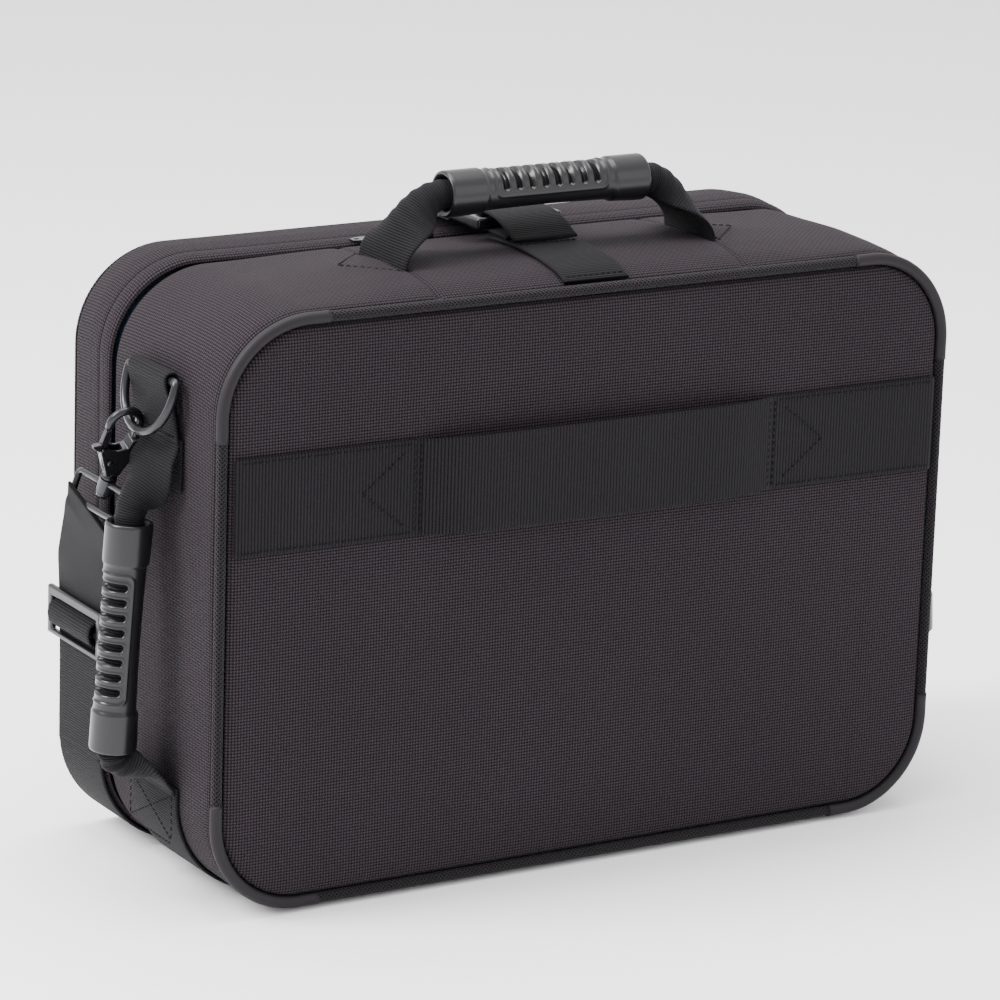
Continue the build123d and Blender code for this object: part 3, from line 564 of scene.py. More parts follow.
def rounded_rings(rings, half, low, high, r):
    """Rings of (y, inset) over a rounded rectangle, and where three of its corners fall."""
    rows = outline(40, 60, [("flat", -1, -1, -1, 1)])
    dims = lambda y, ex, ez: (half, low, high, r)
    out = np.array([[spot(row, y, inset, dims) for row in rows] for y, inset in rings], float)
    x, z = out[-1, :, 0], out[-1, :, 2] - (low + high) / 2
    turn = int(np.argmin(x + z))
    x, z = np.roll(x, -turn), np.roll(z, -turn)
    ends = [int(np.argmax(x * a + z * b)) for a, b in ((1, -1), (1, 1), (-1, 1))]
    return np.roll(out, -turn, axis=1), ends


def filling(ring, ends, relief):
    """Points inside a ring with four corners, as an even grid; the rim is the ring itself."""
    right, top, left = ends
    count = len(ring)
    wide, high = right, top - right
    bottom_run = [ring[i] for i in range(wide + 1)]
    right_run = [ring[right + i] for i in range(high + 1)]
    top_run = [ring[left - i] for i in range(wide + 1)]
    left_run = [ring[(count - i) % count] for i in range(high + 1)]
    points = {}
    for i in range(1, wide):
        for j in range(1, high):
            s, t = i / wide, j / high
            edge = bottom_run[i] * (1 - t) + top_run[i] * t + left_run[j] * (1 - s) + right_run[j] * s
            corner = ring[0] * (1 - s) * (1 - t) + ring[right] * s * (1 - t)
            corner = corner + ring[top] * s * t + ring[left] * (1 - s) * t
            x, y, z = edge - corner
            ramp = min(1.0, 5.0 * min(s, 1 - s, t, 1 - t))
            points[i, j] = (x, y + relief(x, z) * ramp, z)
    return wide, high, points


def panel(name, rings, dims, relief, body, flip):
    p, ends = rounded_rings(rings, *dims)
    n, m = p.shape[:2]
    wide, high, inside = filling(p[-1], ends, relief)
    flat = np.vstack([p.reshape(-1, 3), list(inside.values())])
    base = (n - 1) * m
    index = {key: n * m + i for i, key in enumerate(inside)}
    for i in range(wide + 1):
        index[i, 0], index[i, high] = base + i, base + ends[2] - i
    for j in range(high + 1):
        index[wide, j], index[0, j] = base + ends[0] + j, base + (m - j) % m
    faces = []
    for i in range(n - 1):
        for j in range(m):
            k = (j + 1) % m
            faces.append([i * m + j, (i + 1) * m + j, (i + 1) * m + k, i * m + k])
    for i in range(wide):
        for j in range(high):
            faces.append([index[i, j], index[i, j + 1], index[i + 1, j + 1], index[i + 1, j]])
    faces.append([j for j in range(m - 1, -1, -1)])
    if flip:
        faces = [f[::-1] for f in faces]
    corners = [(flat[i][0], flat[i][2], 0.0) for f in faces for i in f]
    return build(name, flat, faces, corners, M["body"], body)


def soft(x, z):
    return 0.35 * math.sin(x / 61.0 + 0.7) * math.sin(z / 47.0 + 0.4)


REAR_RINGS = [(77.9, 6.0), (77.9, 1.2), (78.6, 0.5), (80.0, 0.2), (81.2, 0.5), (82.2, 1.3), (82.9, 2.6)]
REAR_RINGS += [(83.4, 4.6), (83.7, 7.5), (83.8, 12.0), (83.8, 18.0), (83.8, 28.0), (83.8, 38.0)]
REAR_DIMS = (208.3, 8.1, 300.3, 43.4)
rear = panel("rear_cover", REAR_RINGS, REAR_DIMS, lambda x, z: soft(x, z) - 0.2, "main_body", False)
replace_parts(rear, "rear_panel")

FRONT_RINGS = [(-76.0, 12.0), (-76.0, 1.0)]
for step in range(13):
    angle = step * math.pi / 24
    FRONT_RINGS.append((-76.1 - 6.4 * math.sin(angle), 0.6 + 8.4 * (1 - math.cos(angle))))
FRONT_RINGS += [(-82.4, 14.0), (-82.3, 20.0), (-82.4, 30.0), (-82.4, 40.0)]
FRONT_DIMS = (214.0, 2.0, 310.0, 50.0)
front = panel("lid_face", FRONT_RINGS, FRONT_DIMS, lambda x, z: -0.3 * soft(x, z), "lid", True)
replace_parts(front, "lid_front_panel")


# ---- rear piping ----
BRAID_ROUND, PIPING_ROUND = 18.4, 17.279  # four repeats of the braid, spread over the girth


def piping():
    rows = outline(150, 200)
    dims = lambda y, ex, ez: (PIPING_HALF, 4.6, 303.7, PIPING_CORNER)
    centre = np.array([spot(row, PIPING_Y, 0.0, dims) for row in rows])
    normal = np.array([(row[2], 0.0, row[3]) for row in rows])
    back = np.array([0.0, 1.0, 0.0])
    ang = np.linspace(0, 2 * math.pi, 17)[:-1]
    ring = centre[:, None] + PIPING_R * (
        np.cos(ang)[None, :, None] * normal[:, None] + np.sin(ang)[None, :, None] * back[None, None]
    )
    around = np.concatenate([ang, [2 * math.pi]]) * PIPING_R * BRAID_ROUND / PIPING_ROUND
    run = lengths(np.vstack([centre, centre[:1]]))
    closed = dict(close_i=True, close_j=True, uv=(run, around), flip=True)
    return grid("piping", ring, M["piping"], "main_body", "piping", **closed)


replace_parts(piping(), "rear_piping")


# ---- webbing round the case ----
def case_path(half, low, high_z, r, y, lift):
    """Outline path under the case, from one height on the left round to the right."""
    pts = []
    for z in np.arange(high_z, low + r, -4.0):
        pts.append((-half - lift, y, z))
    for ang in np.linspace(math.pi, 1.5 * math.pi, 20):
        pts.append((-half + r + (r + lift) * math.cos(ang), y, low + r + (r + lift) * math.sin(ang)))
    for x in np.arange(-half + r + 5, half - r - 4, 6.0):
        pts.append((x, y, low - lift))
    for ang in np.linspace(1.5 * math.pi, 2 * math.pi, 20):
        pts.append((half - r + (r + lift) * math.cos(ang), y, low + r + (r + lift) * math.sin(ang)))
    for z in np.arange(low + r, high_z, 4.0)[1:]:
        pts.append((half + lift, y, z))
    return np.array(pts)


path = case_path(BODY_HALF, BASE_Z, 64.0, CORNER_R, WEB_Y, 1.0)
belly = strap("belly_band", path, ACROSS_Y, 50.0, 1.9, "main_body")
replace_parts(belly, "belly_webbing")
path = case_path(LID_HALF, BASE_Z, 50.0, CORNER_R, STRAP_Y, 1.0)
under = strap("strap_under_lid", path, ACROSS_Y, 49.0, 1.9, "lid")
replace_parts(under, "shoulder_strap_under")

# ---- trolley band ----
BAND = [(-206.0, 85.1), (-150.0, 85.1), (-108.0, 85.1), (-103.0, 85.3), (-94.0, 88.0), (-80.0, 91.0)]
BAND += [(-50.0, 91.6)]
BAND += [(0.0, 91.7)] + [(-x, y) for x, y in BAND[::-1]]
band_path = smooth([(x, y, 213.0) for x, y in BAND], 3.0)
band = strap("trolley_webbing", band_path, (0, 0, 1), 50.0, 2.0, "main_body", out=-1.0, look="wide")
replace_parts(band, "trolley_band")
BAND_FACE = 86.2
runs = []
for k in (1, -1):
    for x in (103.0, 106.0):
        runs.append(([(k * x, BAND_FACE, 190.0), (k * x, BAND_FACE, 236.0)], (0, 1, 0)))
    for z in (190.4, 235.6):
        runs.append(([(k * 108.0, BAND_FACE, z), (k * 204.0, BAND_FACE, z)], (0, 1, 0)))
    arrow = [(k * 112.0, BAND_FACE, 194.0), (k * 136.0, BAND_FACE, 213.0), (k * 112.0, BAND_FACE, 232.0)]
    runs.append((arrow, (0, 1, 0)))
stitches("band_stitches", runs, "main_body")


# ---- moulded grips ----
def grip(name, origin, axis, up, body, node):
    """Two cuffs and a waisted middle with eight slots and a raised outline round them."""
    half, cuff, r_mid, r_cuff, bore = 58.5, 21.0, 11.0, 12.0, 7.3
    xs = np.unique(np.concatenate([np.arange(-half, half + 0.01, 0.5), [-half + 0.2, half - 0.2]]))
    count = 144
    ang = np.arange(count) * 2 * math.pi / count
    x, th = np.meshgrid(xs, ang, indexing="ij")
    rise = np.clip((half - cuff + 1.2 - np.abs(x)) / 2.4, 0, 1)
    rise = smoothstep(rise)
    radius = r_cuff - (r_cuff - r_mid) * rise
    below = np.clip(-np.sin(th), 0, 1) ** 1.5
    arch = np.clip(1 - (x / (half - 6)) ** 2, 0, 1)
    radius = radius - 2.6 * below * arch
    crown = np.clip(np.sin(th), 0, 1) ** 2
    radius = radius + 0.5 * crown * arch * rise
    ends = np.clip((np.abs(x) - half + 1.6) / 1.6, 0, 1)
    radius = radius - 1.0 * (1 - np.sqrt(np.clip(1 - ends**2, 0, 1)))
    arc = (th - math.pi / 2 + math.pi) % (2 * math.pi) - math.pi
    side = arc * r_mid
    zone_x, zone_s = half - cuff - 4.5, 13.2
    box = np.maximum(np.abs(x) - zone_x + 4, np.abs(side) - zone_s + 4)
    corner = np.hypot(np.maximum(np.abs(x) - zone_x + 4, 0), np.maximum(np.abs(side) - zone_s + 4, 0))
    edge = np.where(box > 0, corner, box) - 4
    radius = radius + 0.45 * np.exp(-((edge / 0.7) ** 2)) - 0.35 * np.clip(-edge, 0, 1)
    pitch = 2 * (zone_x - 2.4) / 8
    floor = np.zeros_like(radius)
    for i in range(8):
        xi = (i - 3.5) * pitch
        gap = np.hypot(np.maximum(np.abs(side) - 8.6, 0), x - xi) - 1.75
        cut = np.clip(0.5 - gap / 0.55, 0, 1)
        cut = smoothstep(cut)
        floor = np.maximum(floor, cut)
        radius = radius + 0.25 * np.exp(-((gap - 0.9) ** 2) / 0.5)
    radius = radius - floor * (radius - 7.9)
    u = unit(axis)
    w = unit(up)
    v = np.cross(w, u)
    o = vec(origin)
    outer = o + x[..., None] * u + (radius * np.cos(th))[..., None] * v + (radius * np.sin(th))[..., None] * w
    inside = [(half - 0.5, 9.6), (half - 2.0, 8.7), (half - 6.0, bore), (0.0, bore)]
    inside += [(-a, b) for a, b in inside[2::-1]]
    rings = []
    for a, b in inside:
        bow = np.minimum(b, 9.4)
        rings.append(o + a * u + np.outer(np.cos(ang) * bow, v) + np.outer(np.sin(ang) * bow, w))
    p = np.concatenate([outer, np.array(rings)])
    run = np.concatenate([xs, [q[0] for q in inside], [xs[0]]])
    closed = dict(close_i=True, close_j=True, uv=(run, np.append(ang, 6.283) * 8))
    obj = grid(name, p, M["grip"], body, "grip_plastic", second=M["webbing"], **closed)
    deep = np.zeros((len(p), count), np.int32)
    deep[: len(xs)] = floor > 0.5
    obj.data.polygons.foreach_set("material_index", deep.ravel())
    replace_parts(obj, node)


grip("top_grip_shell", (0.0, 22.5, 344.5), (1, 0, 0), (0, 0.55, 1), "top_handle", "top_grip")
TILT = math.radians(3.9)
GRIP_MID = np.array([238.0, 27.5, 137.5])
for k, word in SIDES:
    mid = GRIP_MID * (k, 1, 1)
    axis = (-k * math.sin(TILT), 0, math.cos(TILT))
    up = (k * math.cos(TILT), 0.3, math.sin(TILT))
    grip("side_grip_shell_" + word, mid, axis, up, "side_handle_" + word, "side_grip_" + word)


# ---- webbing rolled into the grips ----
def bezier(p0, p1, p2, p3, count):
    t = np.linspace(0, 1, count)[:, None]
    p0, p1, p2, p3 = (vec(p) for p in (p0, p1, p2, p3))
    return (1 - t) ** 3 * p0 + 3 * t * (1 - t) ** 2 * p1 + 3 * t * t * (1 - t) * p2 + t**3 * p3


def plane_normal(path, out):
    """Normals in the X-Z plane, on the side that out names."""
    t = tangents(path)
    n = np.stack([t[:, 2], np.zeros(len(t)), -t[:, 0]], axis=1)
    n = unit(n)
    if np.dot(n[0], out) < 0:
        n = -n
    return n


def ease(count, start, end):
    t = np.clip((np.linspace(0, 1, count) - start) / (end - start), 0, 1)
    return smoothstep(t)


def mirrored(k):
    """Function that gives a point on side k."""
    return lambda x, y, z: (k * x, y, z)


HANDLE_WIDTH, HANDLE_THICK, FLAT_TURN, HEAD_COUNT = 48.0, 1.9, 0.04, 60
ROLL_R = 7.55
ROLL = HANDLE_WIDTH / ROLL_R
LEAN = 0.0682


def handle_band(name, head, tail, k, rolling, wrinkle):
    """Webbing sewn down flat that rolls up into a grip; rolling says where the head starts and ends it."""
    path = np.vstack([head, tail])
    head_turn = FLAT_TURN + (ROLL - FLAT_TURN) * ease(HEAD_COUNT, *rolling)
    turn = np.concatenate([head_turn, np.full(len(tail), ROLL)])
    return rolled(name, path, plane_normal(path, (k, 0, 0)), turn, HANDLE_WIDTH, HANDLE_THICK, wrinkle)


for k, word in SIDES:
    at = mirrored(k)
    points = at(92.5, WEB_Y, 311.0), at(91, WEB_Y, 331.0), at(80, 22.0, 352.0), at(58, 22.5, 352.0)
    head = bezier(*points, HEAD_COUNT)
    tail = np.array([(x * k, 22.5, 352.0) for x in np.arange(55.0, -1.0, -3.0)])
    obj = handle_band("top_handle_band_" + word, head, tail, k, (0.05, 1.0), 0.25)
    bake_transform(obj)
    if k == 1:
        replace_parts(obj, "top_handle_webbing")

for k, word in SIDES:
    at = mirrored(k)
    apex = (233.9 + ROLL_R, 27.5, 198.0)
    points = at(217.6, WEB_Y, 240.0), at(218.5, 23.0, 222.0), at(240.0, 26.5, 219.0), at(*apex)
    tail = np.array([at(apex[0] + t * LEAN, 27.5, 198.0 - t) for t in np.arange(3.0, 61.0, 3.0)])
    head = bezier(*points, HEAD_COUNT)
    obj = handle_band("side_band_upper_" + word, head, tail, k, (0.22, 0.95), 0.25)
    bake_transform(obj)
    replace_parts(obj, "side_handle_webbing_" + word)
    apex = (241.8 + ROLL_R, 27.5, 82.0)
    points = at(217.2, WEB_Y, 56.0), at(218.5, 22.0, 68.0), at(250.5, 27.0, 55.0), at(*apex)
    tail = np.array([at(apex[0] - t * LEAN, 27.5, 82.0 + t) for t in np.arange(3.0, 56.0, 3.0)])
    head = bezier(*points, HEAD_COUNT)
    obj = handle_band("side_band_lower_" + word, head, tail, k, (0.1, 0.95), 0.5)
    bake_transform(obj)

# ---- side webbing, ring tab, shoulder strap ----
for k, word in SIDES:
    at = mirrored(k)
    flat = smooth([at(215.3, WEB_Y, 212.5), at(215.3, WEB_Y, 225.0), at(215.3, WEB_Y, 239.5)], 2.0)
    side = strap("side_patch_" + word, flat, ACROSS_Y, 50.0, 1.8, "main_body", out=-k)
    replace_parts(side, "side_webbing_" + word)
    fold = [(215.6, 252.0), (216.0, 262.0), (215.6, 268.5), (216.6, 271.6), (219.0, 272.4), (221.5, 271.4)]
    fold += [(222.4, 268.5), (221.6, 263.5), (219.2, 256.5), (218.0, 248.0), (217.6, 238.0)]
    path = smooth([at(x, WEB_Y, z) for x, z in fold], 0.9)
    wide = np.interp(path[:, 2], [238.0, 256.0, 268.0], [50.0, 44.0, 40.0])
    tab = strap("ring_fold_" + word, path, ACROSS_Y, wide, 1.7, "main_body", out=-k)
    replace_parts(tab, "ring_tab_" + word)
    near, far = -1.0, 44.0
    line = [at(218.8, y, 240.5) for y in (near, far)]
    foot = [at(217.2, y, 31.0) for y in (near, far)]
    cross_a = [at(217.1, near, 33.0), at(217.1, far, 56.0)]
    cross_b = [at(217.1, far, 33.0), at(217.1, near, 56.0)]
    edges = [[at(217.1, y, 33.0), at(217.1, y, 56.0)] for y in (near, far)]
    out = (k, 0, 0)
    stitches("side_stitches_" + word, [(r, out) for r in (line, foot, cross_a, cross_b, *edges)], "main_body")
    fall = [(233.8, -13.4, 189.0), (230.5, -21.0, 178.0), (226.5, -33.0, 166.0), (221.0, -50.0, 146.0)]
    fall += [(217.4, -60.0, 131.0), (216.7, STRAP_Y, 117.0)]
    fall += [(216.4, STRAP_Y, z) for z in (90.0, 66.0, 49.0)]
    strap_path = smooth([at(*point) for point in fall], 2.5)
    obj = strap("shoulder_strap_side_" + word, strap_path, ACROSS_Y, 48.0, 1.9, None, out=k)
    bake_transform(obj)
    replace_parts(obj, "shoulder_strap_" + word)

# ---- closure strap and what is sewn to it ----
REAR_STRAP = [(78.0, 307.0), (70.0, 310.6), (60.0, 312.9), (50.0, 314.4), (38.0, 315.3), (25.0, 315.5)]
REAR_STRAP += [(14.0, 315.3), (8.0, 315.1), (2.0, 314.7)]
path = smooth([(0.0, y, z) for y, z in REAR_STRAP], 2.0)
obj = strap("closure_band_rear", path, (1, 0, 0), 38.0, 1.8, "main_body", waves=0.15)
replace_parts(obj, "closure_strap_rear")
LOOP = [(20.0, 317.9), (10.0, 318.3), (0.0, 318.2), (-8.0, 317.9), (-12.5, 319.5), (-13.4, 322.4)]
LOOP += [(-11.8, 325.8), (-6.0, 326.9), (2.0, 326.8), (10.0, 325.5), (18.0, 322.6)]
LOOP += [(24.0, 319.6), (28.0, 318.0)]
path = smooth([(0.0, y, z) for y, z in LOOP], 1.6)
obj = strap("closure_band_fold", path, (1, 0, 0), 37.5, 1.8, "buckle_plug", out=-1.0)
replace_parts(obj, "plug_webbing")
FRONT_STRAP = [(-59.8, 326.5), (-59.6, 322.0), (-59.8, 317.0), (-61.5, 313.6), (-66.0, 312.4), (-70.0, 311.9)]
path = smooth([(0.0, y, z) for y, z in FRONT_STRAP], 1.2)
obj = strap("closure_band_front", path, (1, 0, 0), 38.0, 1.8, "lid")
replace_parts(obj, "closure_strap_front")
runs = [([(-17.0, y, top_z), (17.0, y, top_z)], (0, 0, 1)) for y, top_z in ((30.0, 316.6), (75.0, 309.5))]
stitches("closure_stitches", runs, "main_body")

# The handle's webbing is sewn under the top panel: stitches draw an arrow beyond each slit.
runs = []
for k in (1, -1):
    top_line = lambda y: float(np.interp(y, CROWN_Y, CROWN_Z)) - 0.25
    tip = (k * 117.0, WEB_Y, top_line(WEB_Y) - 0.4)
    for y in (-2.0, 45.0):
        runs.append(([(k * 94.0, y, top_line(y)), tip], (0, 0, 1)))
    runs.append(([(k * 94.0, y, top_line(y)) for y in (-4.0, 10.0, 25.0, 47.0)], (0, 0, 1)))
stitches("slit_stitches", runs, "main_body")


def finished(name, parts, cuts, bevel, look, body, segments=3):
    """Union of parts less cuts, with rounded edges, as one plain mesh."""
    base = parts[0]
    for operation, others in (("UNION", parts[1:]), ("DIFFERENCE", cuts)):
        for other in others:
            tool = base.modifiers.new("cut", "BOOLEAN")
            tool.operation, tool.object, tool.solver = operation, other, "EXACT"
    if bevel:
        edge = base.modifiers.new("edge", "BEVEL")
        edge.width, edge.segments, edge.limit_method = bevel * MM, segments, "ANGLE"
        edge.angle_limit, edge.harden_normals = math.radians(35), False
    graph = bpy.context.evaluated_depsgraph_get()
    graph.update()
    mesh = bpy.data.meshes.new_from_object(base.evaluated_get(graph))
    mesh.name = name
    for o in [*parts, *cuts]:
        bpy.data.objects.remove(o)
    dress(mesh, M[look])
    obj = add_object(name, mesh)
    sharp = obj.modifiers.new("crisp", "WEIGHTED_NORMAL")
    sharp.keep_sharp = False
    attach(obj, body)
    return obj


def raw(points, faces):
    mesh = bpy.data.meshes.new("raw")
    mesh.from_pydata((vec(points) * MM).tolist(), [], faces)
    return add_object("raw", mesh)


def box(x0, x1, y0, y1, z0, z1):
    pts = [(x, y, z) for x in (x0, x1) for y in (y0, y1) for z in (z0, z1)]
    return raw(pts, [(0, 1, 3, 2), (4, 6, 7, 5), (0, 4, 5, 1), (2, 3, 7, 6), (0, 2, 6, 4), (1, 5, 7, 3)])


def prism(points, origin, u, w, v, thick):
    """Flat outline in the (u, w) plane, thick along v. Kept solid whichever way it turns."""
    o, u, w, v = (vec(q) for q in (origin, u, w, v))
    flat = [o + u * a + w * b for a, b in points]
    n = len(flat)
    pts = [p - v * thick / 2 for p in flat] + [p + v * thick / 2 for p in flat]
    faces = [tuple(range(n))[::-1], tuple(range(n, 2 * n))]
    faces += [(i, (i + 1) % n, n + (i + 1) % n, n + i) for i in range(n)]
    area = sum(a[0] * b[1] - a[1] * b[0] for a, b in zip(points, points[1:] + points[:1]))
    if area * np.dot(np.cross(u, w), v) < 0:
        faces = [f[::-1] for f in faces]
    return raw(pts, faces)


def circle(centre, e, f, r, count):
    ang = np.arange(count) * 2 * math.pi / count
    return [centre + e * r * math.cos(q) + f * r * math.sin(q) for q in ang]


def ringed(points, count):
    """Solid closed at both ends, from rings of count points."""
    last, faces = len(points) - count, []
    for start in range(0, last, count):
        for j in range(count):
            h = (j + 1) % count
            faces.append((start + j, start + h, start + count + h, start + count + j))
    faces += [tuple(range(count))[::-1], tuple(last + j for j in range(count))]
    return raw(points, faces)


def lathe(a, b, profile, count=28):
    """Turned piece on the line a to b; profile is (share along, radius)."""
    a, b = vec(a), vec(b)
    t = unit(b - a)
    e = unit(np.cross(t, (0.3, 0.9, 0.2)))
    f = np.cross(t, e)
    points = []
    for share, r in profile:
        points += circle(a + (b - a) * share, e, f, r, count)
    return ringed(points, count)


def tube(path, r, count=20):
    """Round wire along a path, closed at both ends."""
    p = vec(path)
    t = tangents(p)
    e = unit(np.cross(t[0], (0.31, 0.2, 0.93)))
    points = []
    for i in range(len(p)):
        e = unit(e - t[i] * np.dot(e, t[i]))
        points += circle(p[i], e, np.cross(t[i], e), r, count)
    return ringed(points, count)


HOOK_AT = np.array([228.4, -9.335, 205.186])
HOOK_UP = np.array([0.0, 0.469472, 0.882948])
HOOK_SIDE = np.array([0.0, 0.882948, -0.469472])
BODY_OUTLINE = [(-3.6, 7.8), (3.6, 7.8), (5.2, 12.0), (8.6, 20.0), (10.4, 24.6), (9.6, 26.6), (5.0, 25.2)]
BODY_OUTLINE += [(0.5, 24.4), (-4.2, 25.6), (-5.6, 30.0), (-9.4, 31.4), (-10.7, 28.5)]
BODY_OUTLINE += [(-8.8, 20.0), (-5.2, 12.0)]
GATE_OUTLINE = [(0.4, 16.0), (6.4, 13.8), (9.6, 23.0), (14.0, 26.0), (14.4, 27.6), (10.4, 28.0), (9.6, 36.9)]
GATE_OUTLINE += [(6.4, 38.0), (6.4, 27.0)]
SLOT_OUTLINE = [(-2.0, 12.2), (22.0, 12.2), (22.0, 45.0), (-2.0, 45.0)]
PLATE_THICK, SLOT_THICK, LEVER_THICK, JAW_R = 7.0, 3.6, 2.8, 2.05
COLLAR = [(0, 3.2), (0.08, 4.1), (0.3, 4.2), (0.42, 3.2), (0.55, 3.2), (0.66, 4.0), (0.92, 3.9), (1, 3.0)]
PIN_HEAD = [(0, 2.4), (0.2, 3.8), (0.75, 4.2), (0.95, 4.1), (1, 3.6)]
RIVET = [(0, 0.5), (0.06, 1.4), (0.14, 2.0), (0.86, 2.0), (0.94, 1.4), (1, 0.5)]
for k, word in SIDES:
    hook_body = "snap_hook_" + word
    across = np.array([k, 0.0, 0.0])
    origin = HOOK_AT * np.array([k, 1, 1])
    axes = origin, across, HOOK_UP, HOOK_SIDE

    def hook(u, w, v=0.0):
        return origin + across * u + HOOK_UP * w + HOOK_SIDE * v

    plate = prism(BODY_OUTLINE, *axes, PLATE_THICK)
    room = prism(SLOT_OUTLINE, *axes, SLOT_THICK)
    base = finished("hook_body_" + word, [plate], [room], 0.5, "metal", hook_body)
    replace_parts(base, "snap_hook_" + word)
    jaw = [hook(-8.0, 26.0), hook(-8.2, 32.0), hook(-8.1, 38.0)]
    jaw += [hook(8.0 * math.cos(q), 40.5 + 8.0 * math.sin(q)) for q in np.linspace(math.pi * 0.97, 0.0, 18)]
    jaw += [hook(8.0, 38.6)]
    finished("hook_jaw_" + word, [tube(jaw, JAW_R)], [], 0.0, "metal", hook_body)
    for part, start, end, profile in (
        ("collar", hook(0, 4.7), hook(0, 9.6), COLLAR),
        ("pin", hook(0, -8.0), hook(0, -4.6), PIN_HEAD),
        ("rivet", hook(3.5, 17.0, -4.3), hook(3.5, 17.0, 4.3), RIVET),
    ):
        finished("hook_" + part + "_" + word, [lathe(start, end, profile)], [], 0.0, "metal", hook_body)
    lever = prism(GATE_OUTLINE, *axes, LEVER_THICK)
    obj = finished("hook_lever_" + word, [lever], [], 0.45, "metal", "hook_gate_" + word)
    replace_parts(obj, "hook_gate_" + word)

    # Strap adjuster: broad frame with a centre bar and the webbing bulging over it.
    def slab(x0, x1, y0, y1, z0, z1):
        lo, hi = sorted((k * x0, k * x1))
        return box(lo, hi, y0, y1, z0, z1)

    frame_box = slab(217.7, 221.2, -91.4, -30.6, 104.6, 130.4)
    holes = [slab(210.0, 230.0, -86.4, -35.6, 107.4, 115.0), slab(210.0, 230.0, -86.4, -35.6, 119.0, 125.0)]
    obj = finished("tri_glide_" + word, [frame_box], holes, 1.3, "grip", "strap_adjuster_" + word, 4)
    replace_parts(obj, "strap_adjuster_" + word)
    over = [(217.9, 110.6), (219.4, 111.0), (222.4, 112.6), (223.6, 116.9), (222.6, 121.4)]
    over += [(219.4, 123.4), (217.9, 123.8)]
    path = smooth([(k * x, STRAP_Y, z) for x, z in over], 0.9)
    obj = strap("adjuster_band_" + word, path, ACROSS_Y, 48.0, 1.7, "strap_adjuster_" + word, out=k)
    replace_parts(obj, "adjuster_webbing_" + word)

# Side-release buckle: socket on the lid, plug with its toothed bars on the rear strap.
socket = box(-25, 25, -66, -27.5, 318.0, 326.0)
cuts = [
    box(-40, 40, -51.0, -38.5, 319.6, 324.4),
    box(-22.2, 22.2, -54.0, -20.0, 319.6, 324.4),
    box(-20, 20, -62.0, -57.5, 310.0, 335.0),
]
obj = finished("buckle_sleeve", [socket], cuts, 1.2, "buckle", "lid", 4)
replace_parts(obj, "buckle_socket")
bar = box(-25, 25, -26.0, 2.0, 319.0, 325.0)
cuts = [box(-20, 20, -19.0, -9.5, 310.0, 335.0), box(-20, 20, -6.0, -1.5, 310.0, 335.0)]
obj = finished("buckle_frame", [bar], cuts, 1.4, "buckle", "buckle_plug", 4)
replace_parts(obj, "buckle_plug")
guide = box(-4, 4, -50.0, -25.0, 320.6, 323.4)
finished("buckle_guide", [guide], [], 0.6, "buckle", "buckle_plug")
for k, word in SIDES:
    arm_line = [(k * 21.0, -25.0), (k * 21.0, -36.0), (k * 22.2, -44.0), (k * 19.0, -51.0)]
    arm = tube(smooth([(x, y, 322.0) for x, y in arm_line], 1.0), 1.9)
    finished("buckle_arm_" + word, [arm], [], 0.0, "buckle", "buckle_plug")
for i in range(7):
    x = (i - 3) * 5.4
    tooth = box(x - 1.3, x + 1.3, -9.8, -7.4, 323.6, 326.4)
    finished("buckle_tooth_" + str(i), [tooth], [], 0.5, "buckle", "buckle_plug")

# ---- zip pulls: short tapered tabs; a tip still shows past the handle's leg ----
PULL_LENGTH = 15.0
for word, pivot_x in (("right", 64.0), ("left", 34.0)):
    low, high = (np.array(c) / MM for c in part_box("zip_pull_" + word))
    heading = 1 if high[0] - pivot_x > pivot_x - low[0] else -1
    root = low[0] if heading > 0 else high[0]
    half_w = (high[1] - low[1]) / 2 - 0.2
    ends = [(0, -half_w), (9, -half_w), (PULL_LENGTH, -half_w * 0.62), (PULL_LENGTH, half_w * 0.62)]
    ends += [(9, half_w), (0, half_w)]
    at_mid = (root, (low[1] + high[1]) / 2, (low[2] + high[2]) / 2)
    along = (heading, 0, 0)
    tab = prism(ends, at_mid, along, (0, 1, 0), (0, 0, 1), high[2] - low[2] - 0.1)
    eye = [(10.5, -1.2), (13.2, -1.2), (13.2, 1.2), (10.5, 1.2)]
    hole = prism(eye, at_mid, along, (0, 1, 0), (0, 0, 1), 6.0)
    obj = finished("zip_tab_" + word, [tab], [hole], 0.25, "metal", "zip_pull_" + word)
    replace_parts(obj, "zip_pull_" + word)

# ---- webbing and pads inside ----
def band_in(name, node, run_axis, body):
    """Flat webbing that fills a node's box, running along one axis."""
    low, high = (np.array(c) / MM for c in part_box(node))
    thin = int(np.argmin(high - low))
    across = 3 - thin - run_axis
    start = (low + high) / 2
    end = start.copy()
    start[run_axis], end[run_axis] = low[run_axis], high[run_axis]
    side = np.eye(3)[across]
    size = high - low
    obj = strap(name, smooth([start, (start + end) / 2, end], 2.0), side, size[across], size[thin], body)
    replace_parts(obj, node)


for word in ("right", "left"):
    band_in("handle_anchor_" + word, "top_handle_anchor_" + word, 0, "main_body")


PAD_INSET = 0.0008
PAD_CAP = 0.0014
PAD_VOXEL = 0.005
PAD_FRAMES = 20


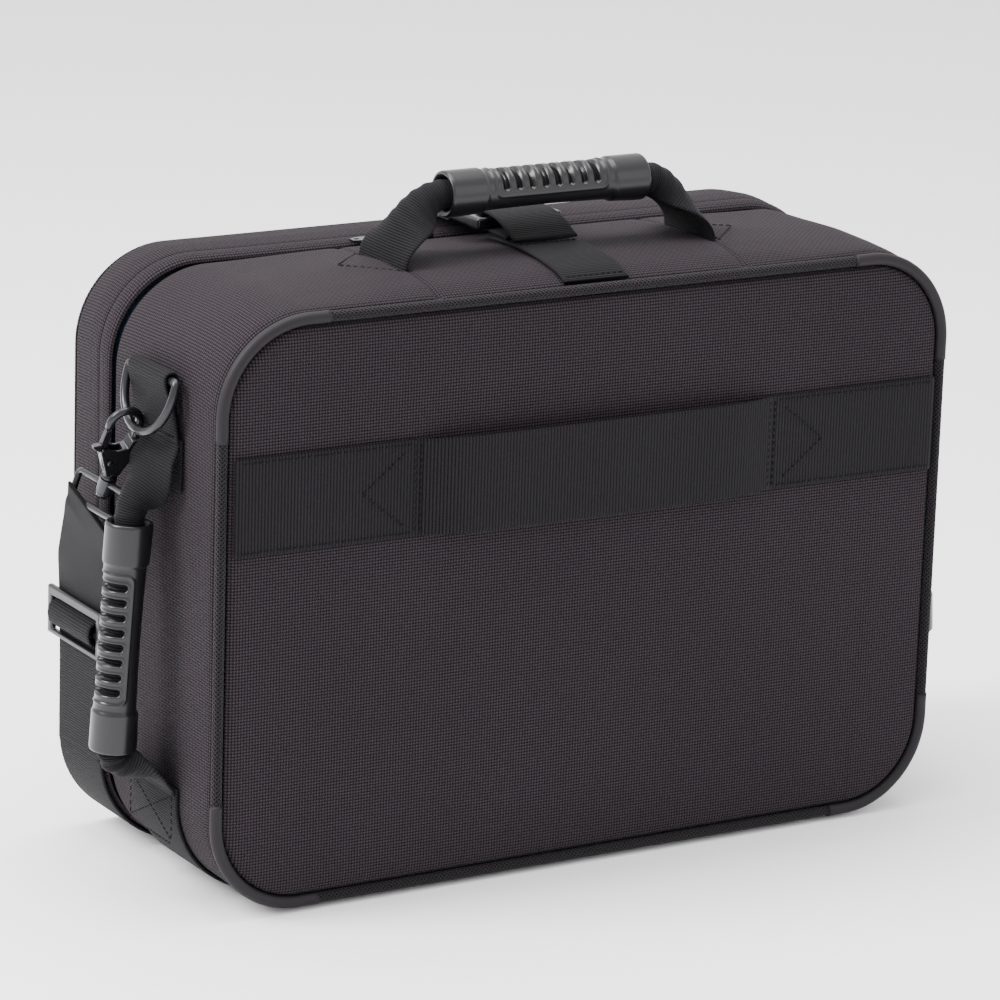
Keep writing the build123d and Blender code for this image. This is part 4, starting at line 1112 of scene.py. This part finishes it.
def padded(name, node, material, body):
    """Pad from its node's box, moved outwards as a pressure cloth simulation says, to PAD_CAP at most.

    The simulation goes past the cap everywhere, so the cap is what sets the swelling.
    """
    low, high = (np.array(c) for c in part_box(node))
    thin = int(np.argmin(high - low))
    low[thin] += PAD_INSET
    high[thin] -= PAD_INSET
    block = box(*np.array([low, high]).T.ravel() / MM)
    solid = block.modifiers.new("voxels", "REMESH")
    solid.mode, solid.voxel_size = "VOXEL", PAD_VOXEL if high[thin] - low[thin] > PAD_VOXEL else 0.002
    graph = bpy.context.evaluated_depsgraph_get()
    graph.update()
    mesh = bpy.data.meshes.new_from_object(block.evaluated_get(graph))
    bpy.data.objects.remove(block)
    obj = add_object(name, mesh)
    rest = np.zeros(len(mesh.vertices) * 3)
    mesh.vertices.foreach_get("co", rest)
    cloth = obj.modifiers.new("cloth", "CLOTH")
    cloth.settings.use_pressure = True
    cloth.settings.uniform_pressure_force = 4.0
    cloth.settings.effector_weights.gravity = 0.0
    for frame_number in range(1, PAD_FRAMES + 1):
        bpy.context.scene.frame_set(frame_number)
    graph = bpy.context.evaluated_depsgraph_get()
    blown = np.zeros_like(rest)
    obj.evaluated_get(graph).to_mesh().vertices.foreach_get("co", blown)
    obj.evaluated_get(graph).to_mesh_clear()
    obj.modifiers.remove(cloth)
    bpy.context.scene.frame_set(1)
    move = (blown - rest).reshape(-1, 3)
    reach = np.linalg.norm(move, axis=1, keepdims=True)
    move = move * np.minimum(1.0, PAD_CAP / np.maximum(reach, 1e-9))
    mesh.vertices.foreach_set("co", (rest.reshape(-1, 3) + move).ravel())
    dress(mesh, material)
    obj.modifiers.new("smooth", "SUBSURF").levels = 1
    obj.modifiers["smooth"].render_levels = 1
    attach(obj, body)
    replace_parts(obj, node)


for word in ("right", "left"):
    padded("divider_pad_" + word, "divider_" + word, M["pad"], "main_body")

# ---- corner guards: smooth sleeves over the piping ----
GUARD_X, GUARD_TAIL, GUARD_R = 165.0, 11.0, 3.15
for k, word in SIDES:
    for sign, end, mid_z in ((-1, "bottom", 51.3), (1, "top", 257.0)):
        line = [(k * PIPING_HALF, PIPING_Y, mid_z - sign * GUARD_TAIL)]
        for q in np.linspace(0, math.pi / 2, 25):
            x, z = PIPING_CORNER * math.cos(q), PIPING_CORNER * math.sin(q)
            line.append((k * (GUARD_X + x), PIPING_Y, mid_z + sign * z))
        line.append((k * (GUARD_X - GUARD_TAIL), PIPING_Y, mid_z + sign * PIPING_CORNER))
        sleeve = tube(smooth(line, 2.0), GUARD_R, 28)
        obj = finished("guard_" + end + "_" + word, [sleeve], [], 0.0, "rubber", "main_body")
        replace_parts(obj, "corner_guard_" + end + "_" + word)

# ---- materials for what keeps its CAD shape ----
KEPT = {
    "board": ["rear_board", "lid_board"],
    "lining": ["body_lining", "lid_lining"],
    "tape": ["zip_tape_body", "zip_tape_lid"],
    "metal": ["zip_slider_right", "zip_slider_left"],
}
for base in ("d_ring", "strap_loop"):
    KEPT["metal"] += [base + "_right", base + "_left"]
left_over = {n for n in nodes if not nodes[n].hide_render}
for key, names in KEPT.items():
    for n in names:
        cover(nodes[n].data, M[key])
        left_over.discard(n)
for n in sorted(left_over):
    cover(nodes[n].data, M["pad"])

# ---- camera, floor and light ----
AZ, EL, ROLL_DEG = 148.895, 15.552, 1.852
TARGET = np.array([0.0, 0.0, 170.0])
SHIFT_R, SHIFT_U, DISTANCE = -4.499, 2.716, 2602.5


def stand(obj, x, y, z, spot_m):
    """Axes and place of an object, as the columns of its matrix."""
    rows = np.eye(4)
    rows[:3] = np.column_stack([x, y, z, spot_m])
    obj.matrix_world = Matrix(rows.tolist())


def place_camera():
    az, el, roll = (math.radians(v) for v in (AZ, EL, ROLL_DEG))
    right = np.array([math.cos(az), math.sin(az), 0.0])
    back = np.array([math.sin(az) * math.cos(el), -math.cos(az) * math.cos(el), math.sin(el)])
    up = np.cross(back, right)
    r_dir = math.cos(roll) * right + math.sin(roll) * up
    u_dir = -math.sin(roll) * right + math.cos(roll) * up
    spot_mm = TARGET + r_dir * SHIFT_R + u_dir * SHIFT_U + back * DISTANCE
    data = bpy.data.cameras.new("camera")
    data.lens = 180.0
    data.sensor_width = 36.0
    data.clip_end = 50.0
    camera = add_object("camera", data)
    stand(camera, r_dir, u_dir, back, spot_mm * MM)
    bpy.context.scene.camera = camera
    return r_dir, u_dir, back


def area_light(name, spot_m, aim_m, size, power):
    data = bpy.data.lights.new(name, "AREA")
    data.shape = "RECTANGLE"
    data.size, data.size_y = size
    data.energy = power
    z = unit(np.array(spot_m) - np.array(aim_m))
    x = unit(np.cross((0, 0, 1), z)) if abs(z[2]) < 0.99 else np.array([1.0, 0, 0])
    y = np.cross(z, x)
    stand(add_object(name, data), x, y, z, spot_m)


r_dir, u_dir, back = place_camera()
bpy.ops.mesh.primitive_plane_add(size=12.0, location=(0, 0, -0.0005))
floor = bpy.context.object
floor.name = "floor"
n = Nodes("floor_paper")
n.tint((0.94, 0.94, 0.945), n.ramp(n.noise(n.place(), 3.0), 0.99, 1.01))
floor.data.materials.append(n.finish(Roughness=0.9))
world = bpy.data.worlds.new("studio")
world.use_nodes = True
background = world.node_tree.nodes["Background"]
background.inputs[0].default_value = (1.0, 1.0, 1.0, 1.0)
background.inputs[1].default_value = 1.75
bpy.context.scene.world = world
aim = (0.0, 0.0, 0.17)


def from_view(right_m, up_m, back_m):
    return tuple(np.array(aim) + r_dir * right_m + u_dir * up_m + back * back_m)


area_light("key", from_view(-1.5, 1.3, 0.9), aim, (0.7, 1.2), 85.0)
area_light("top", (0.0, -0.2, 2.2), aim, (1.6, 1.6), 60.0)
area_light("fill", from_view(1.8, 0.5, 1.4), aim, (1.4, 1.4), 8.0)
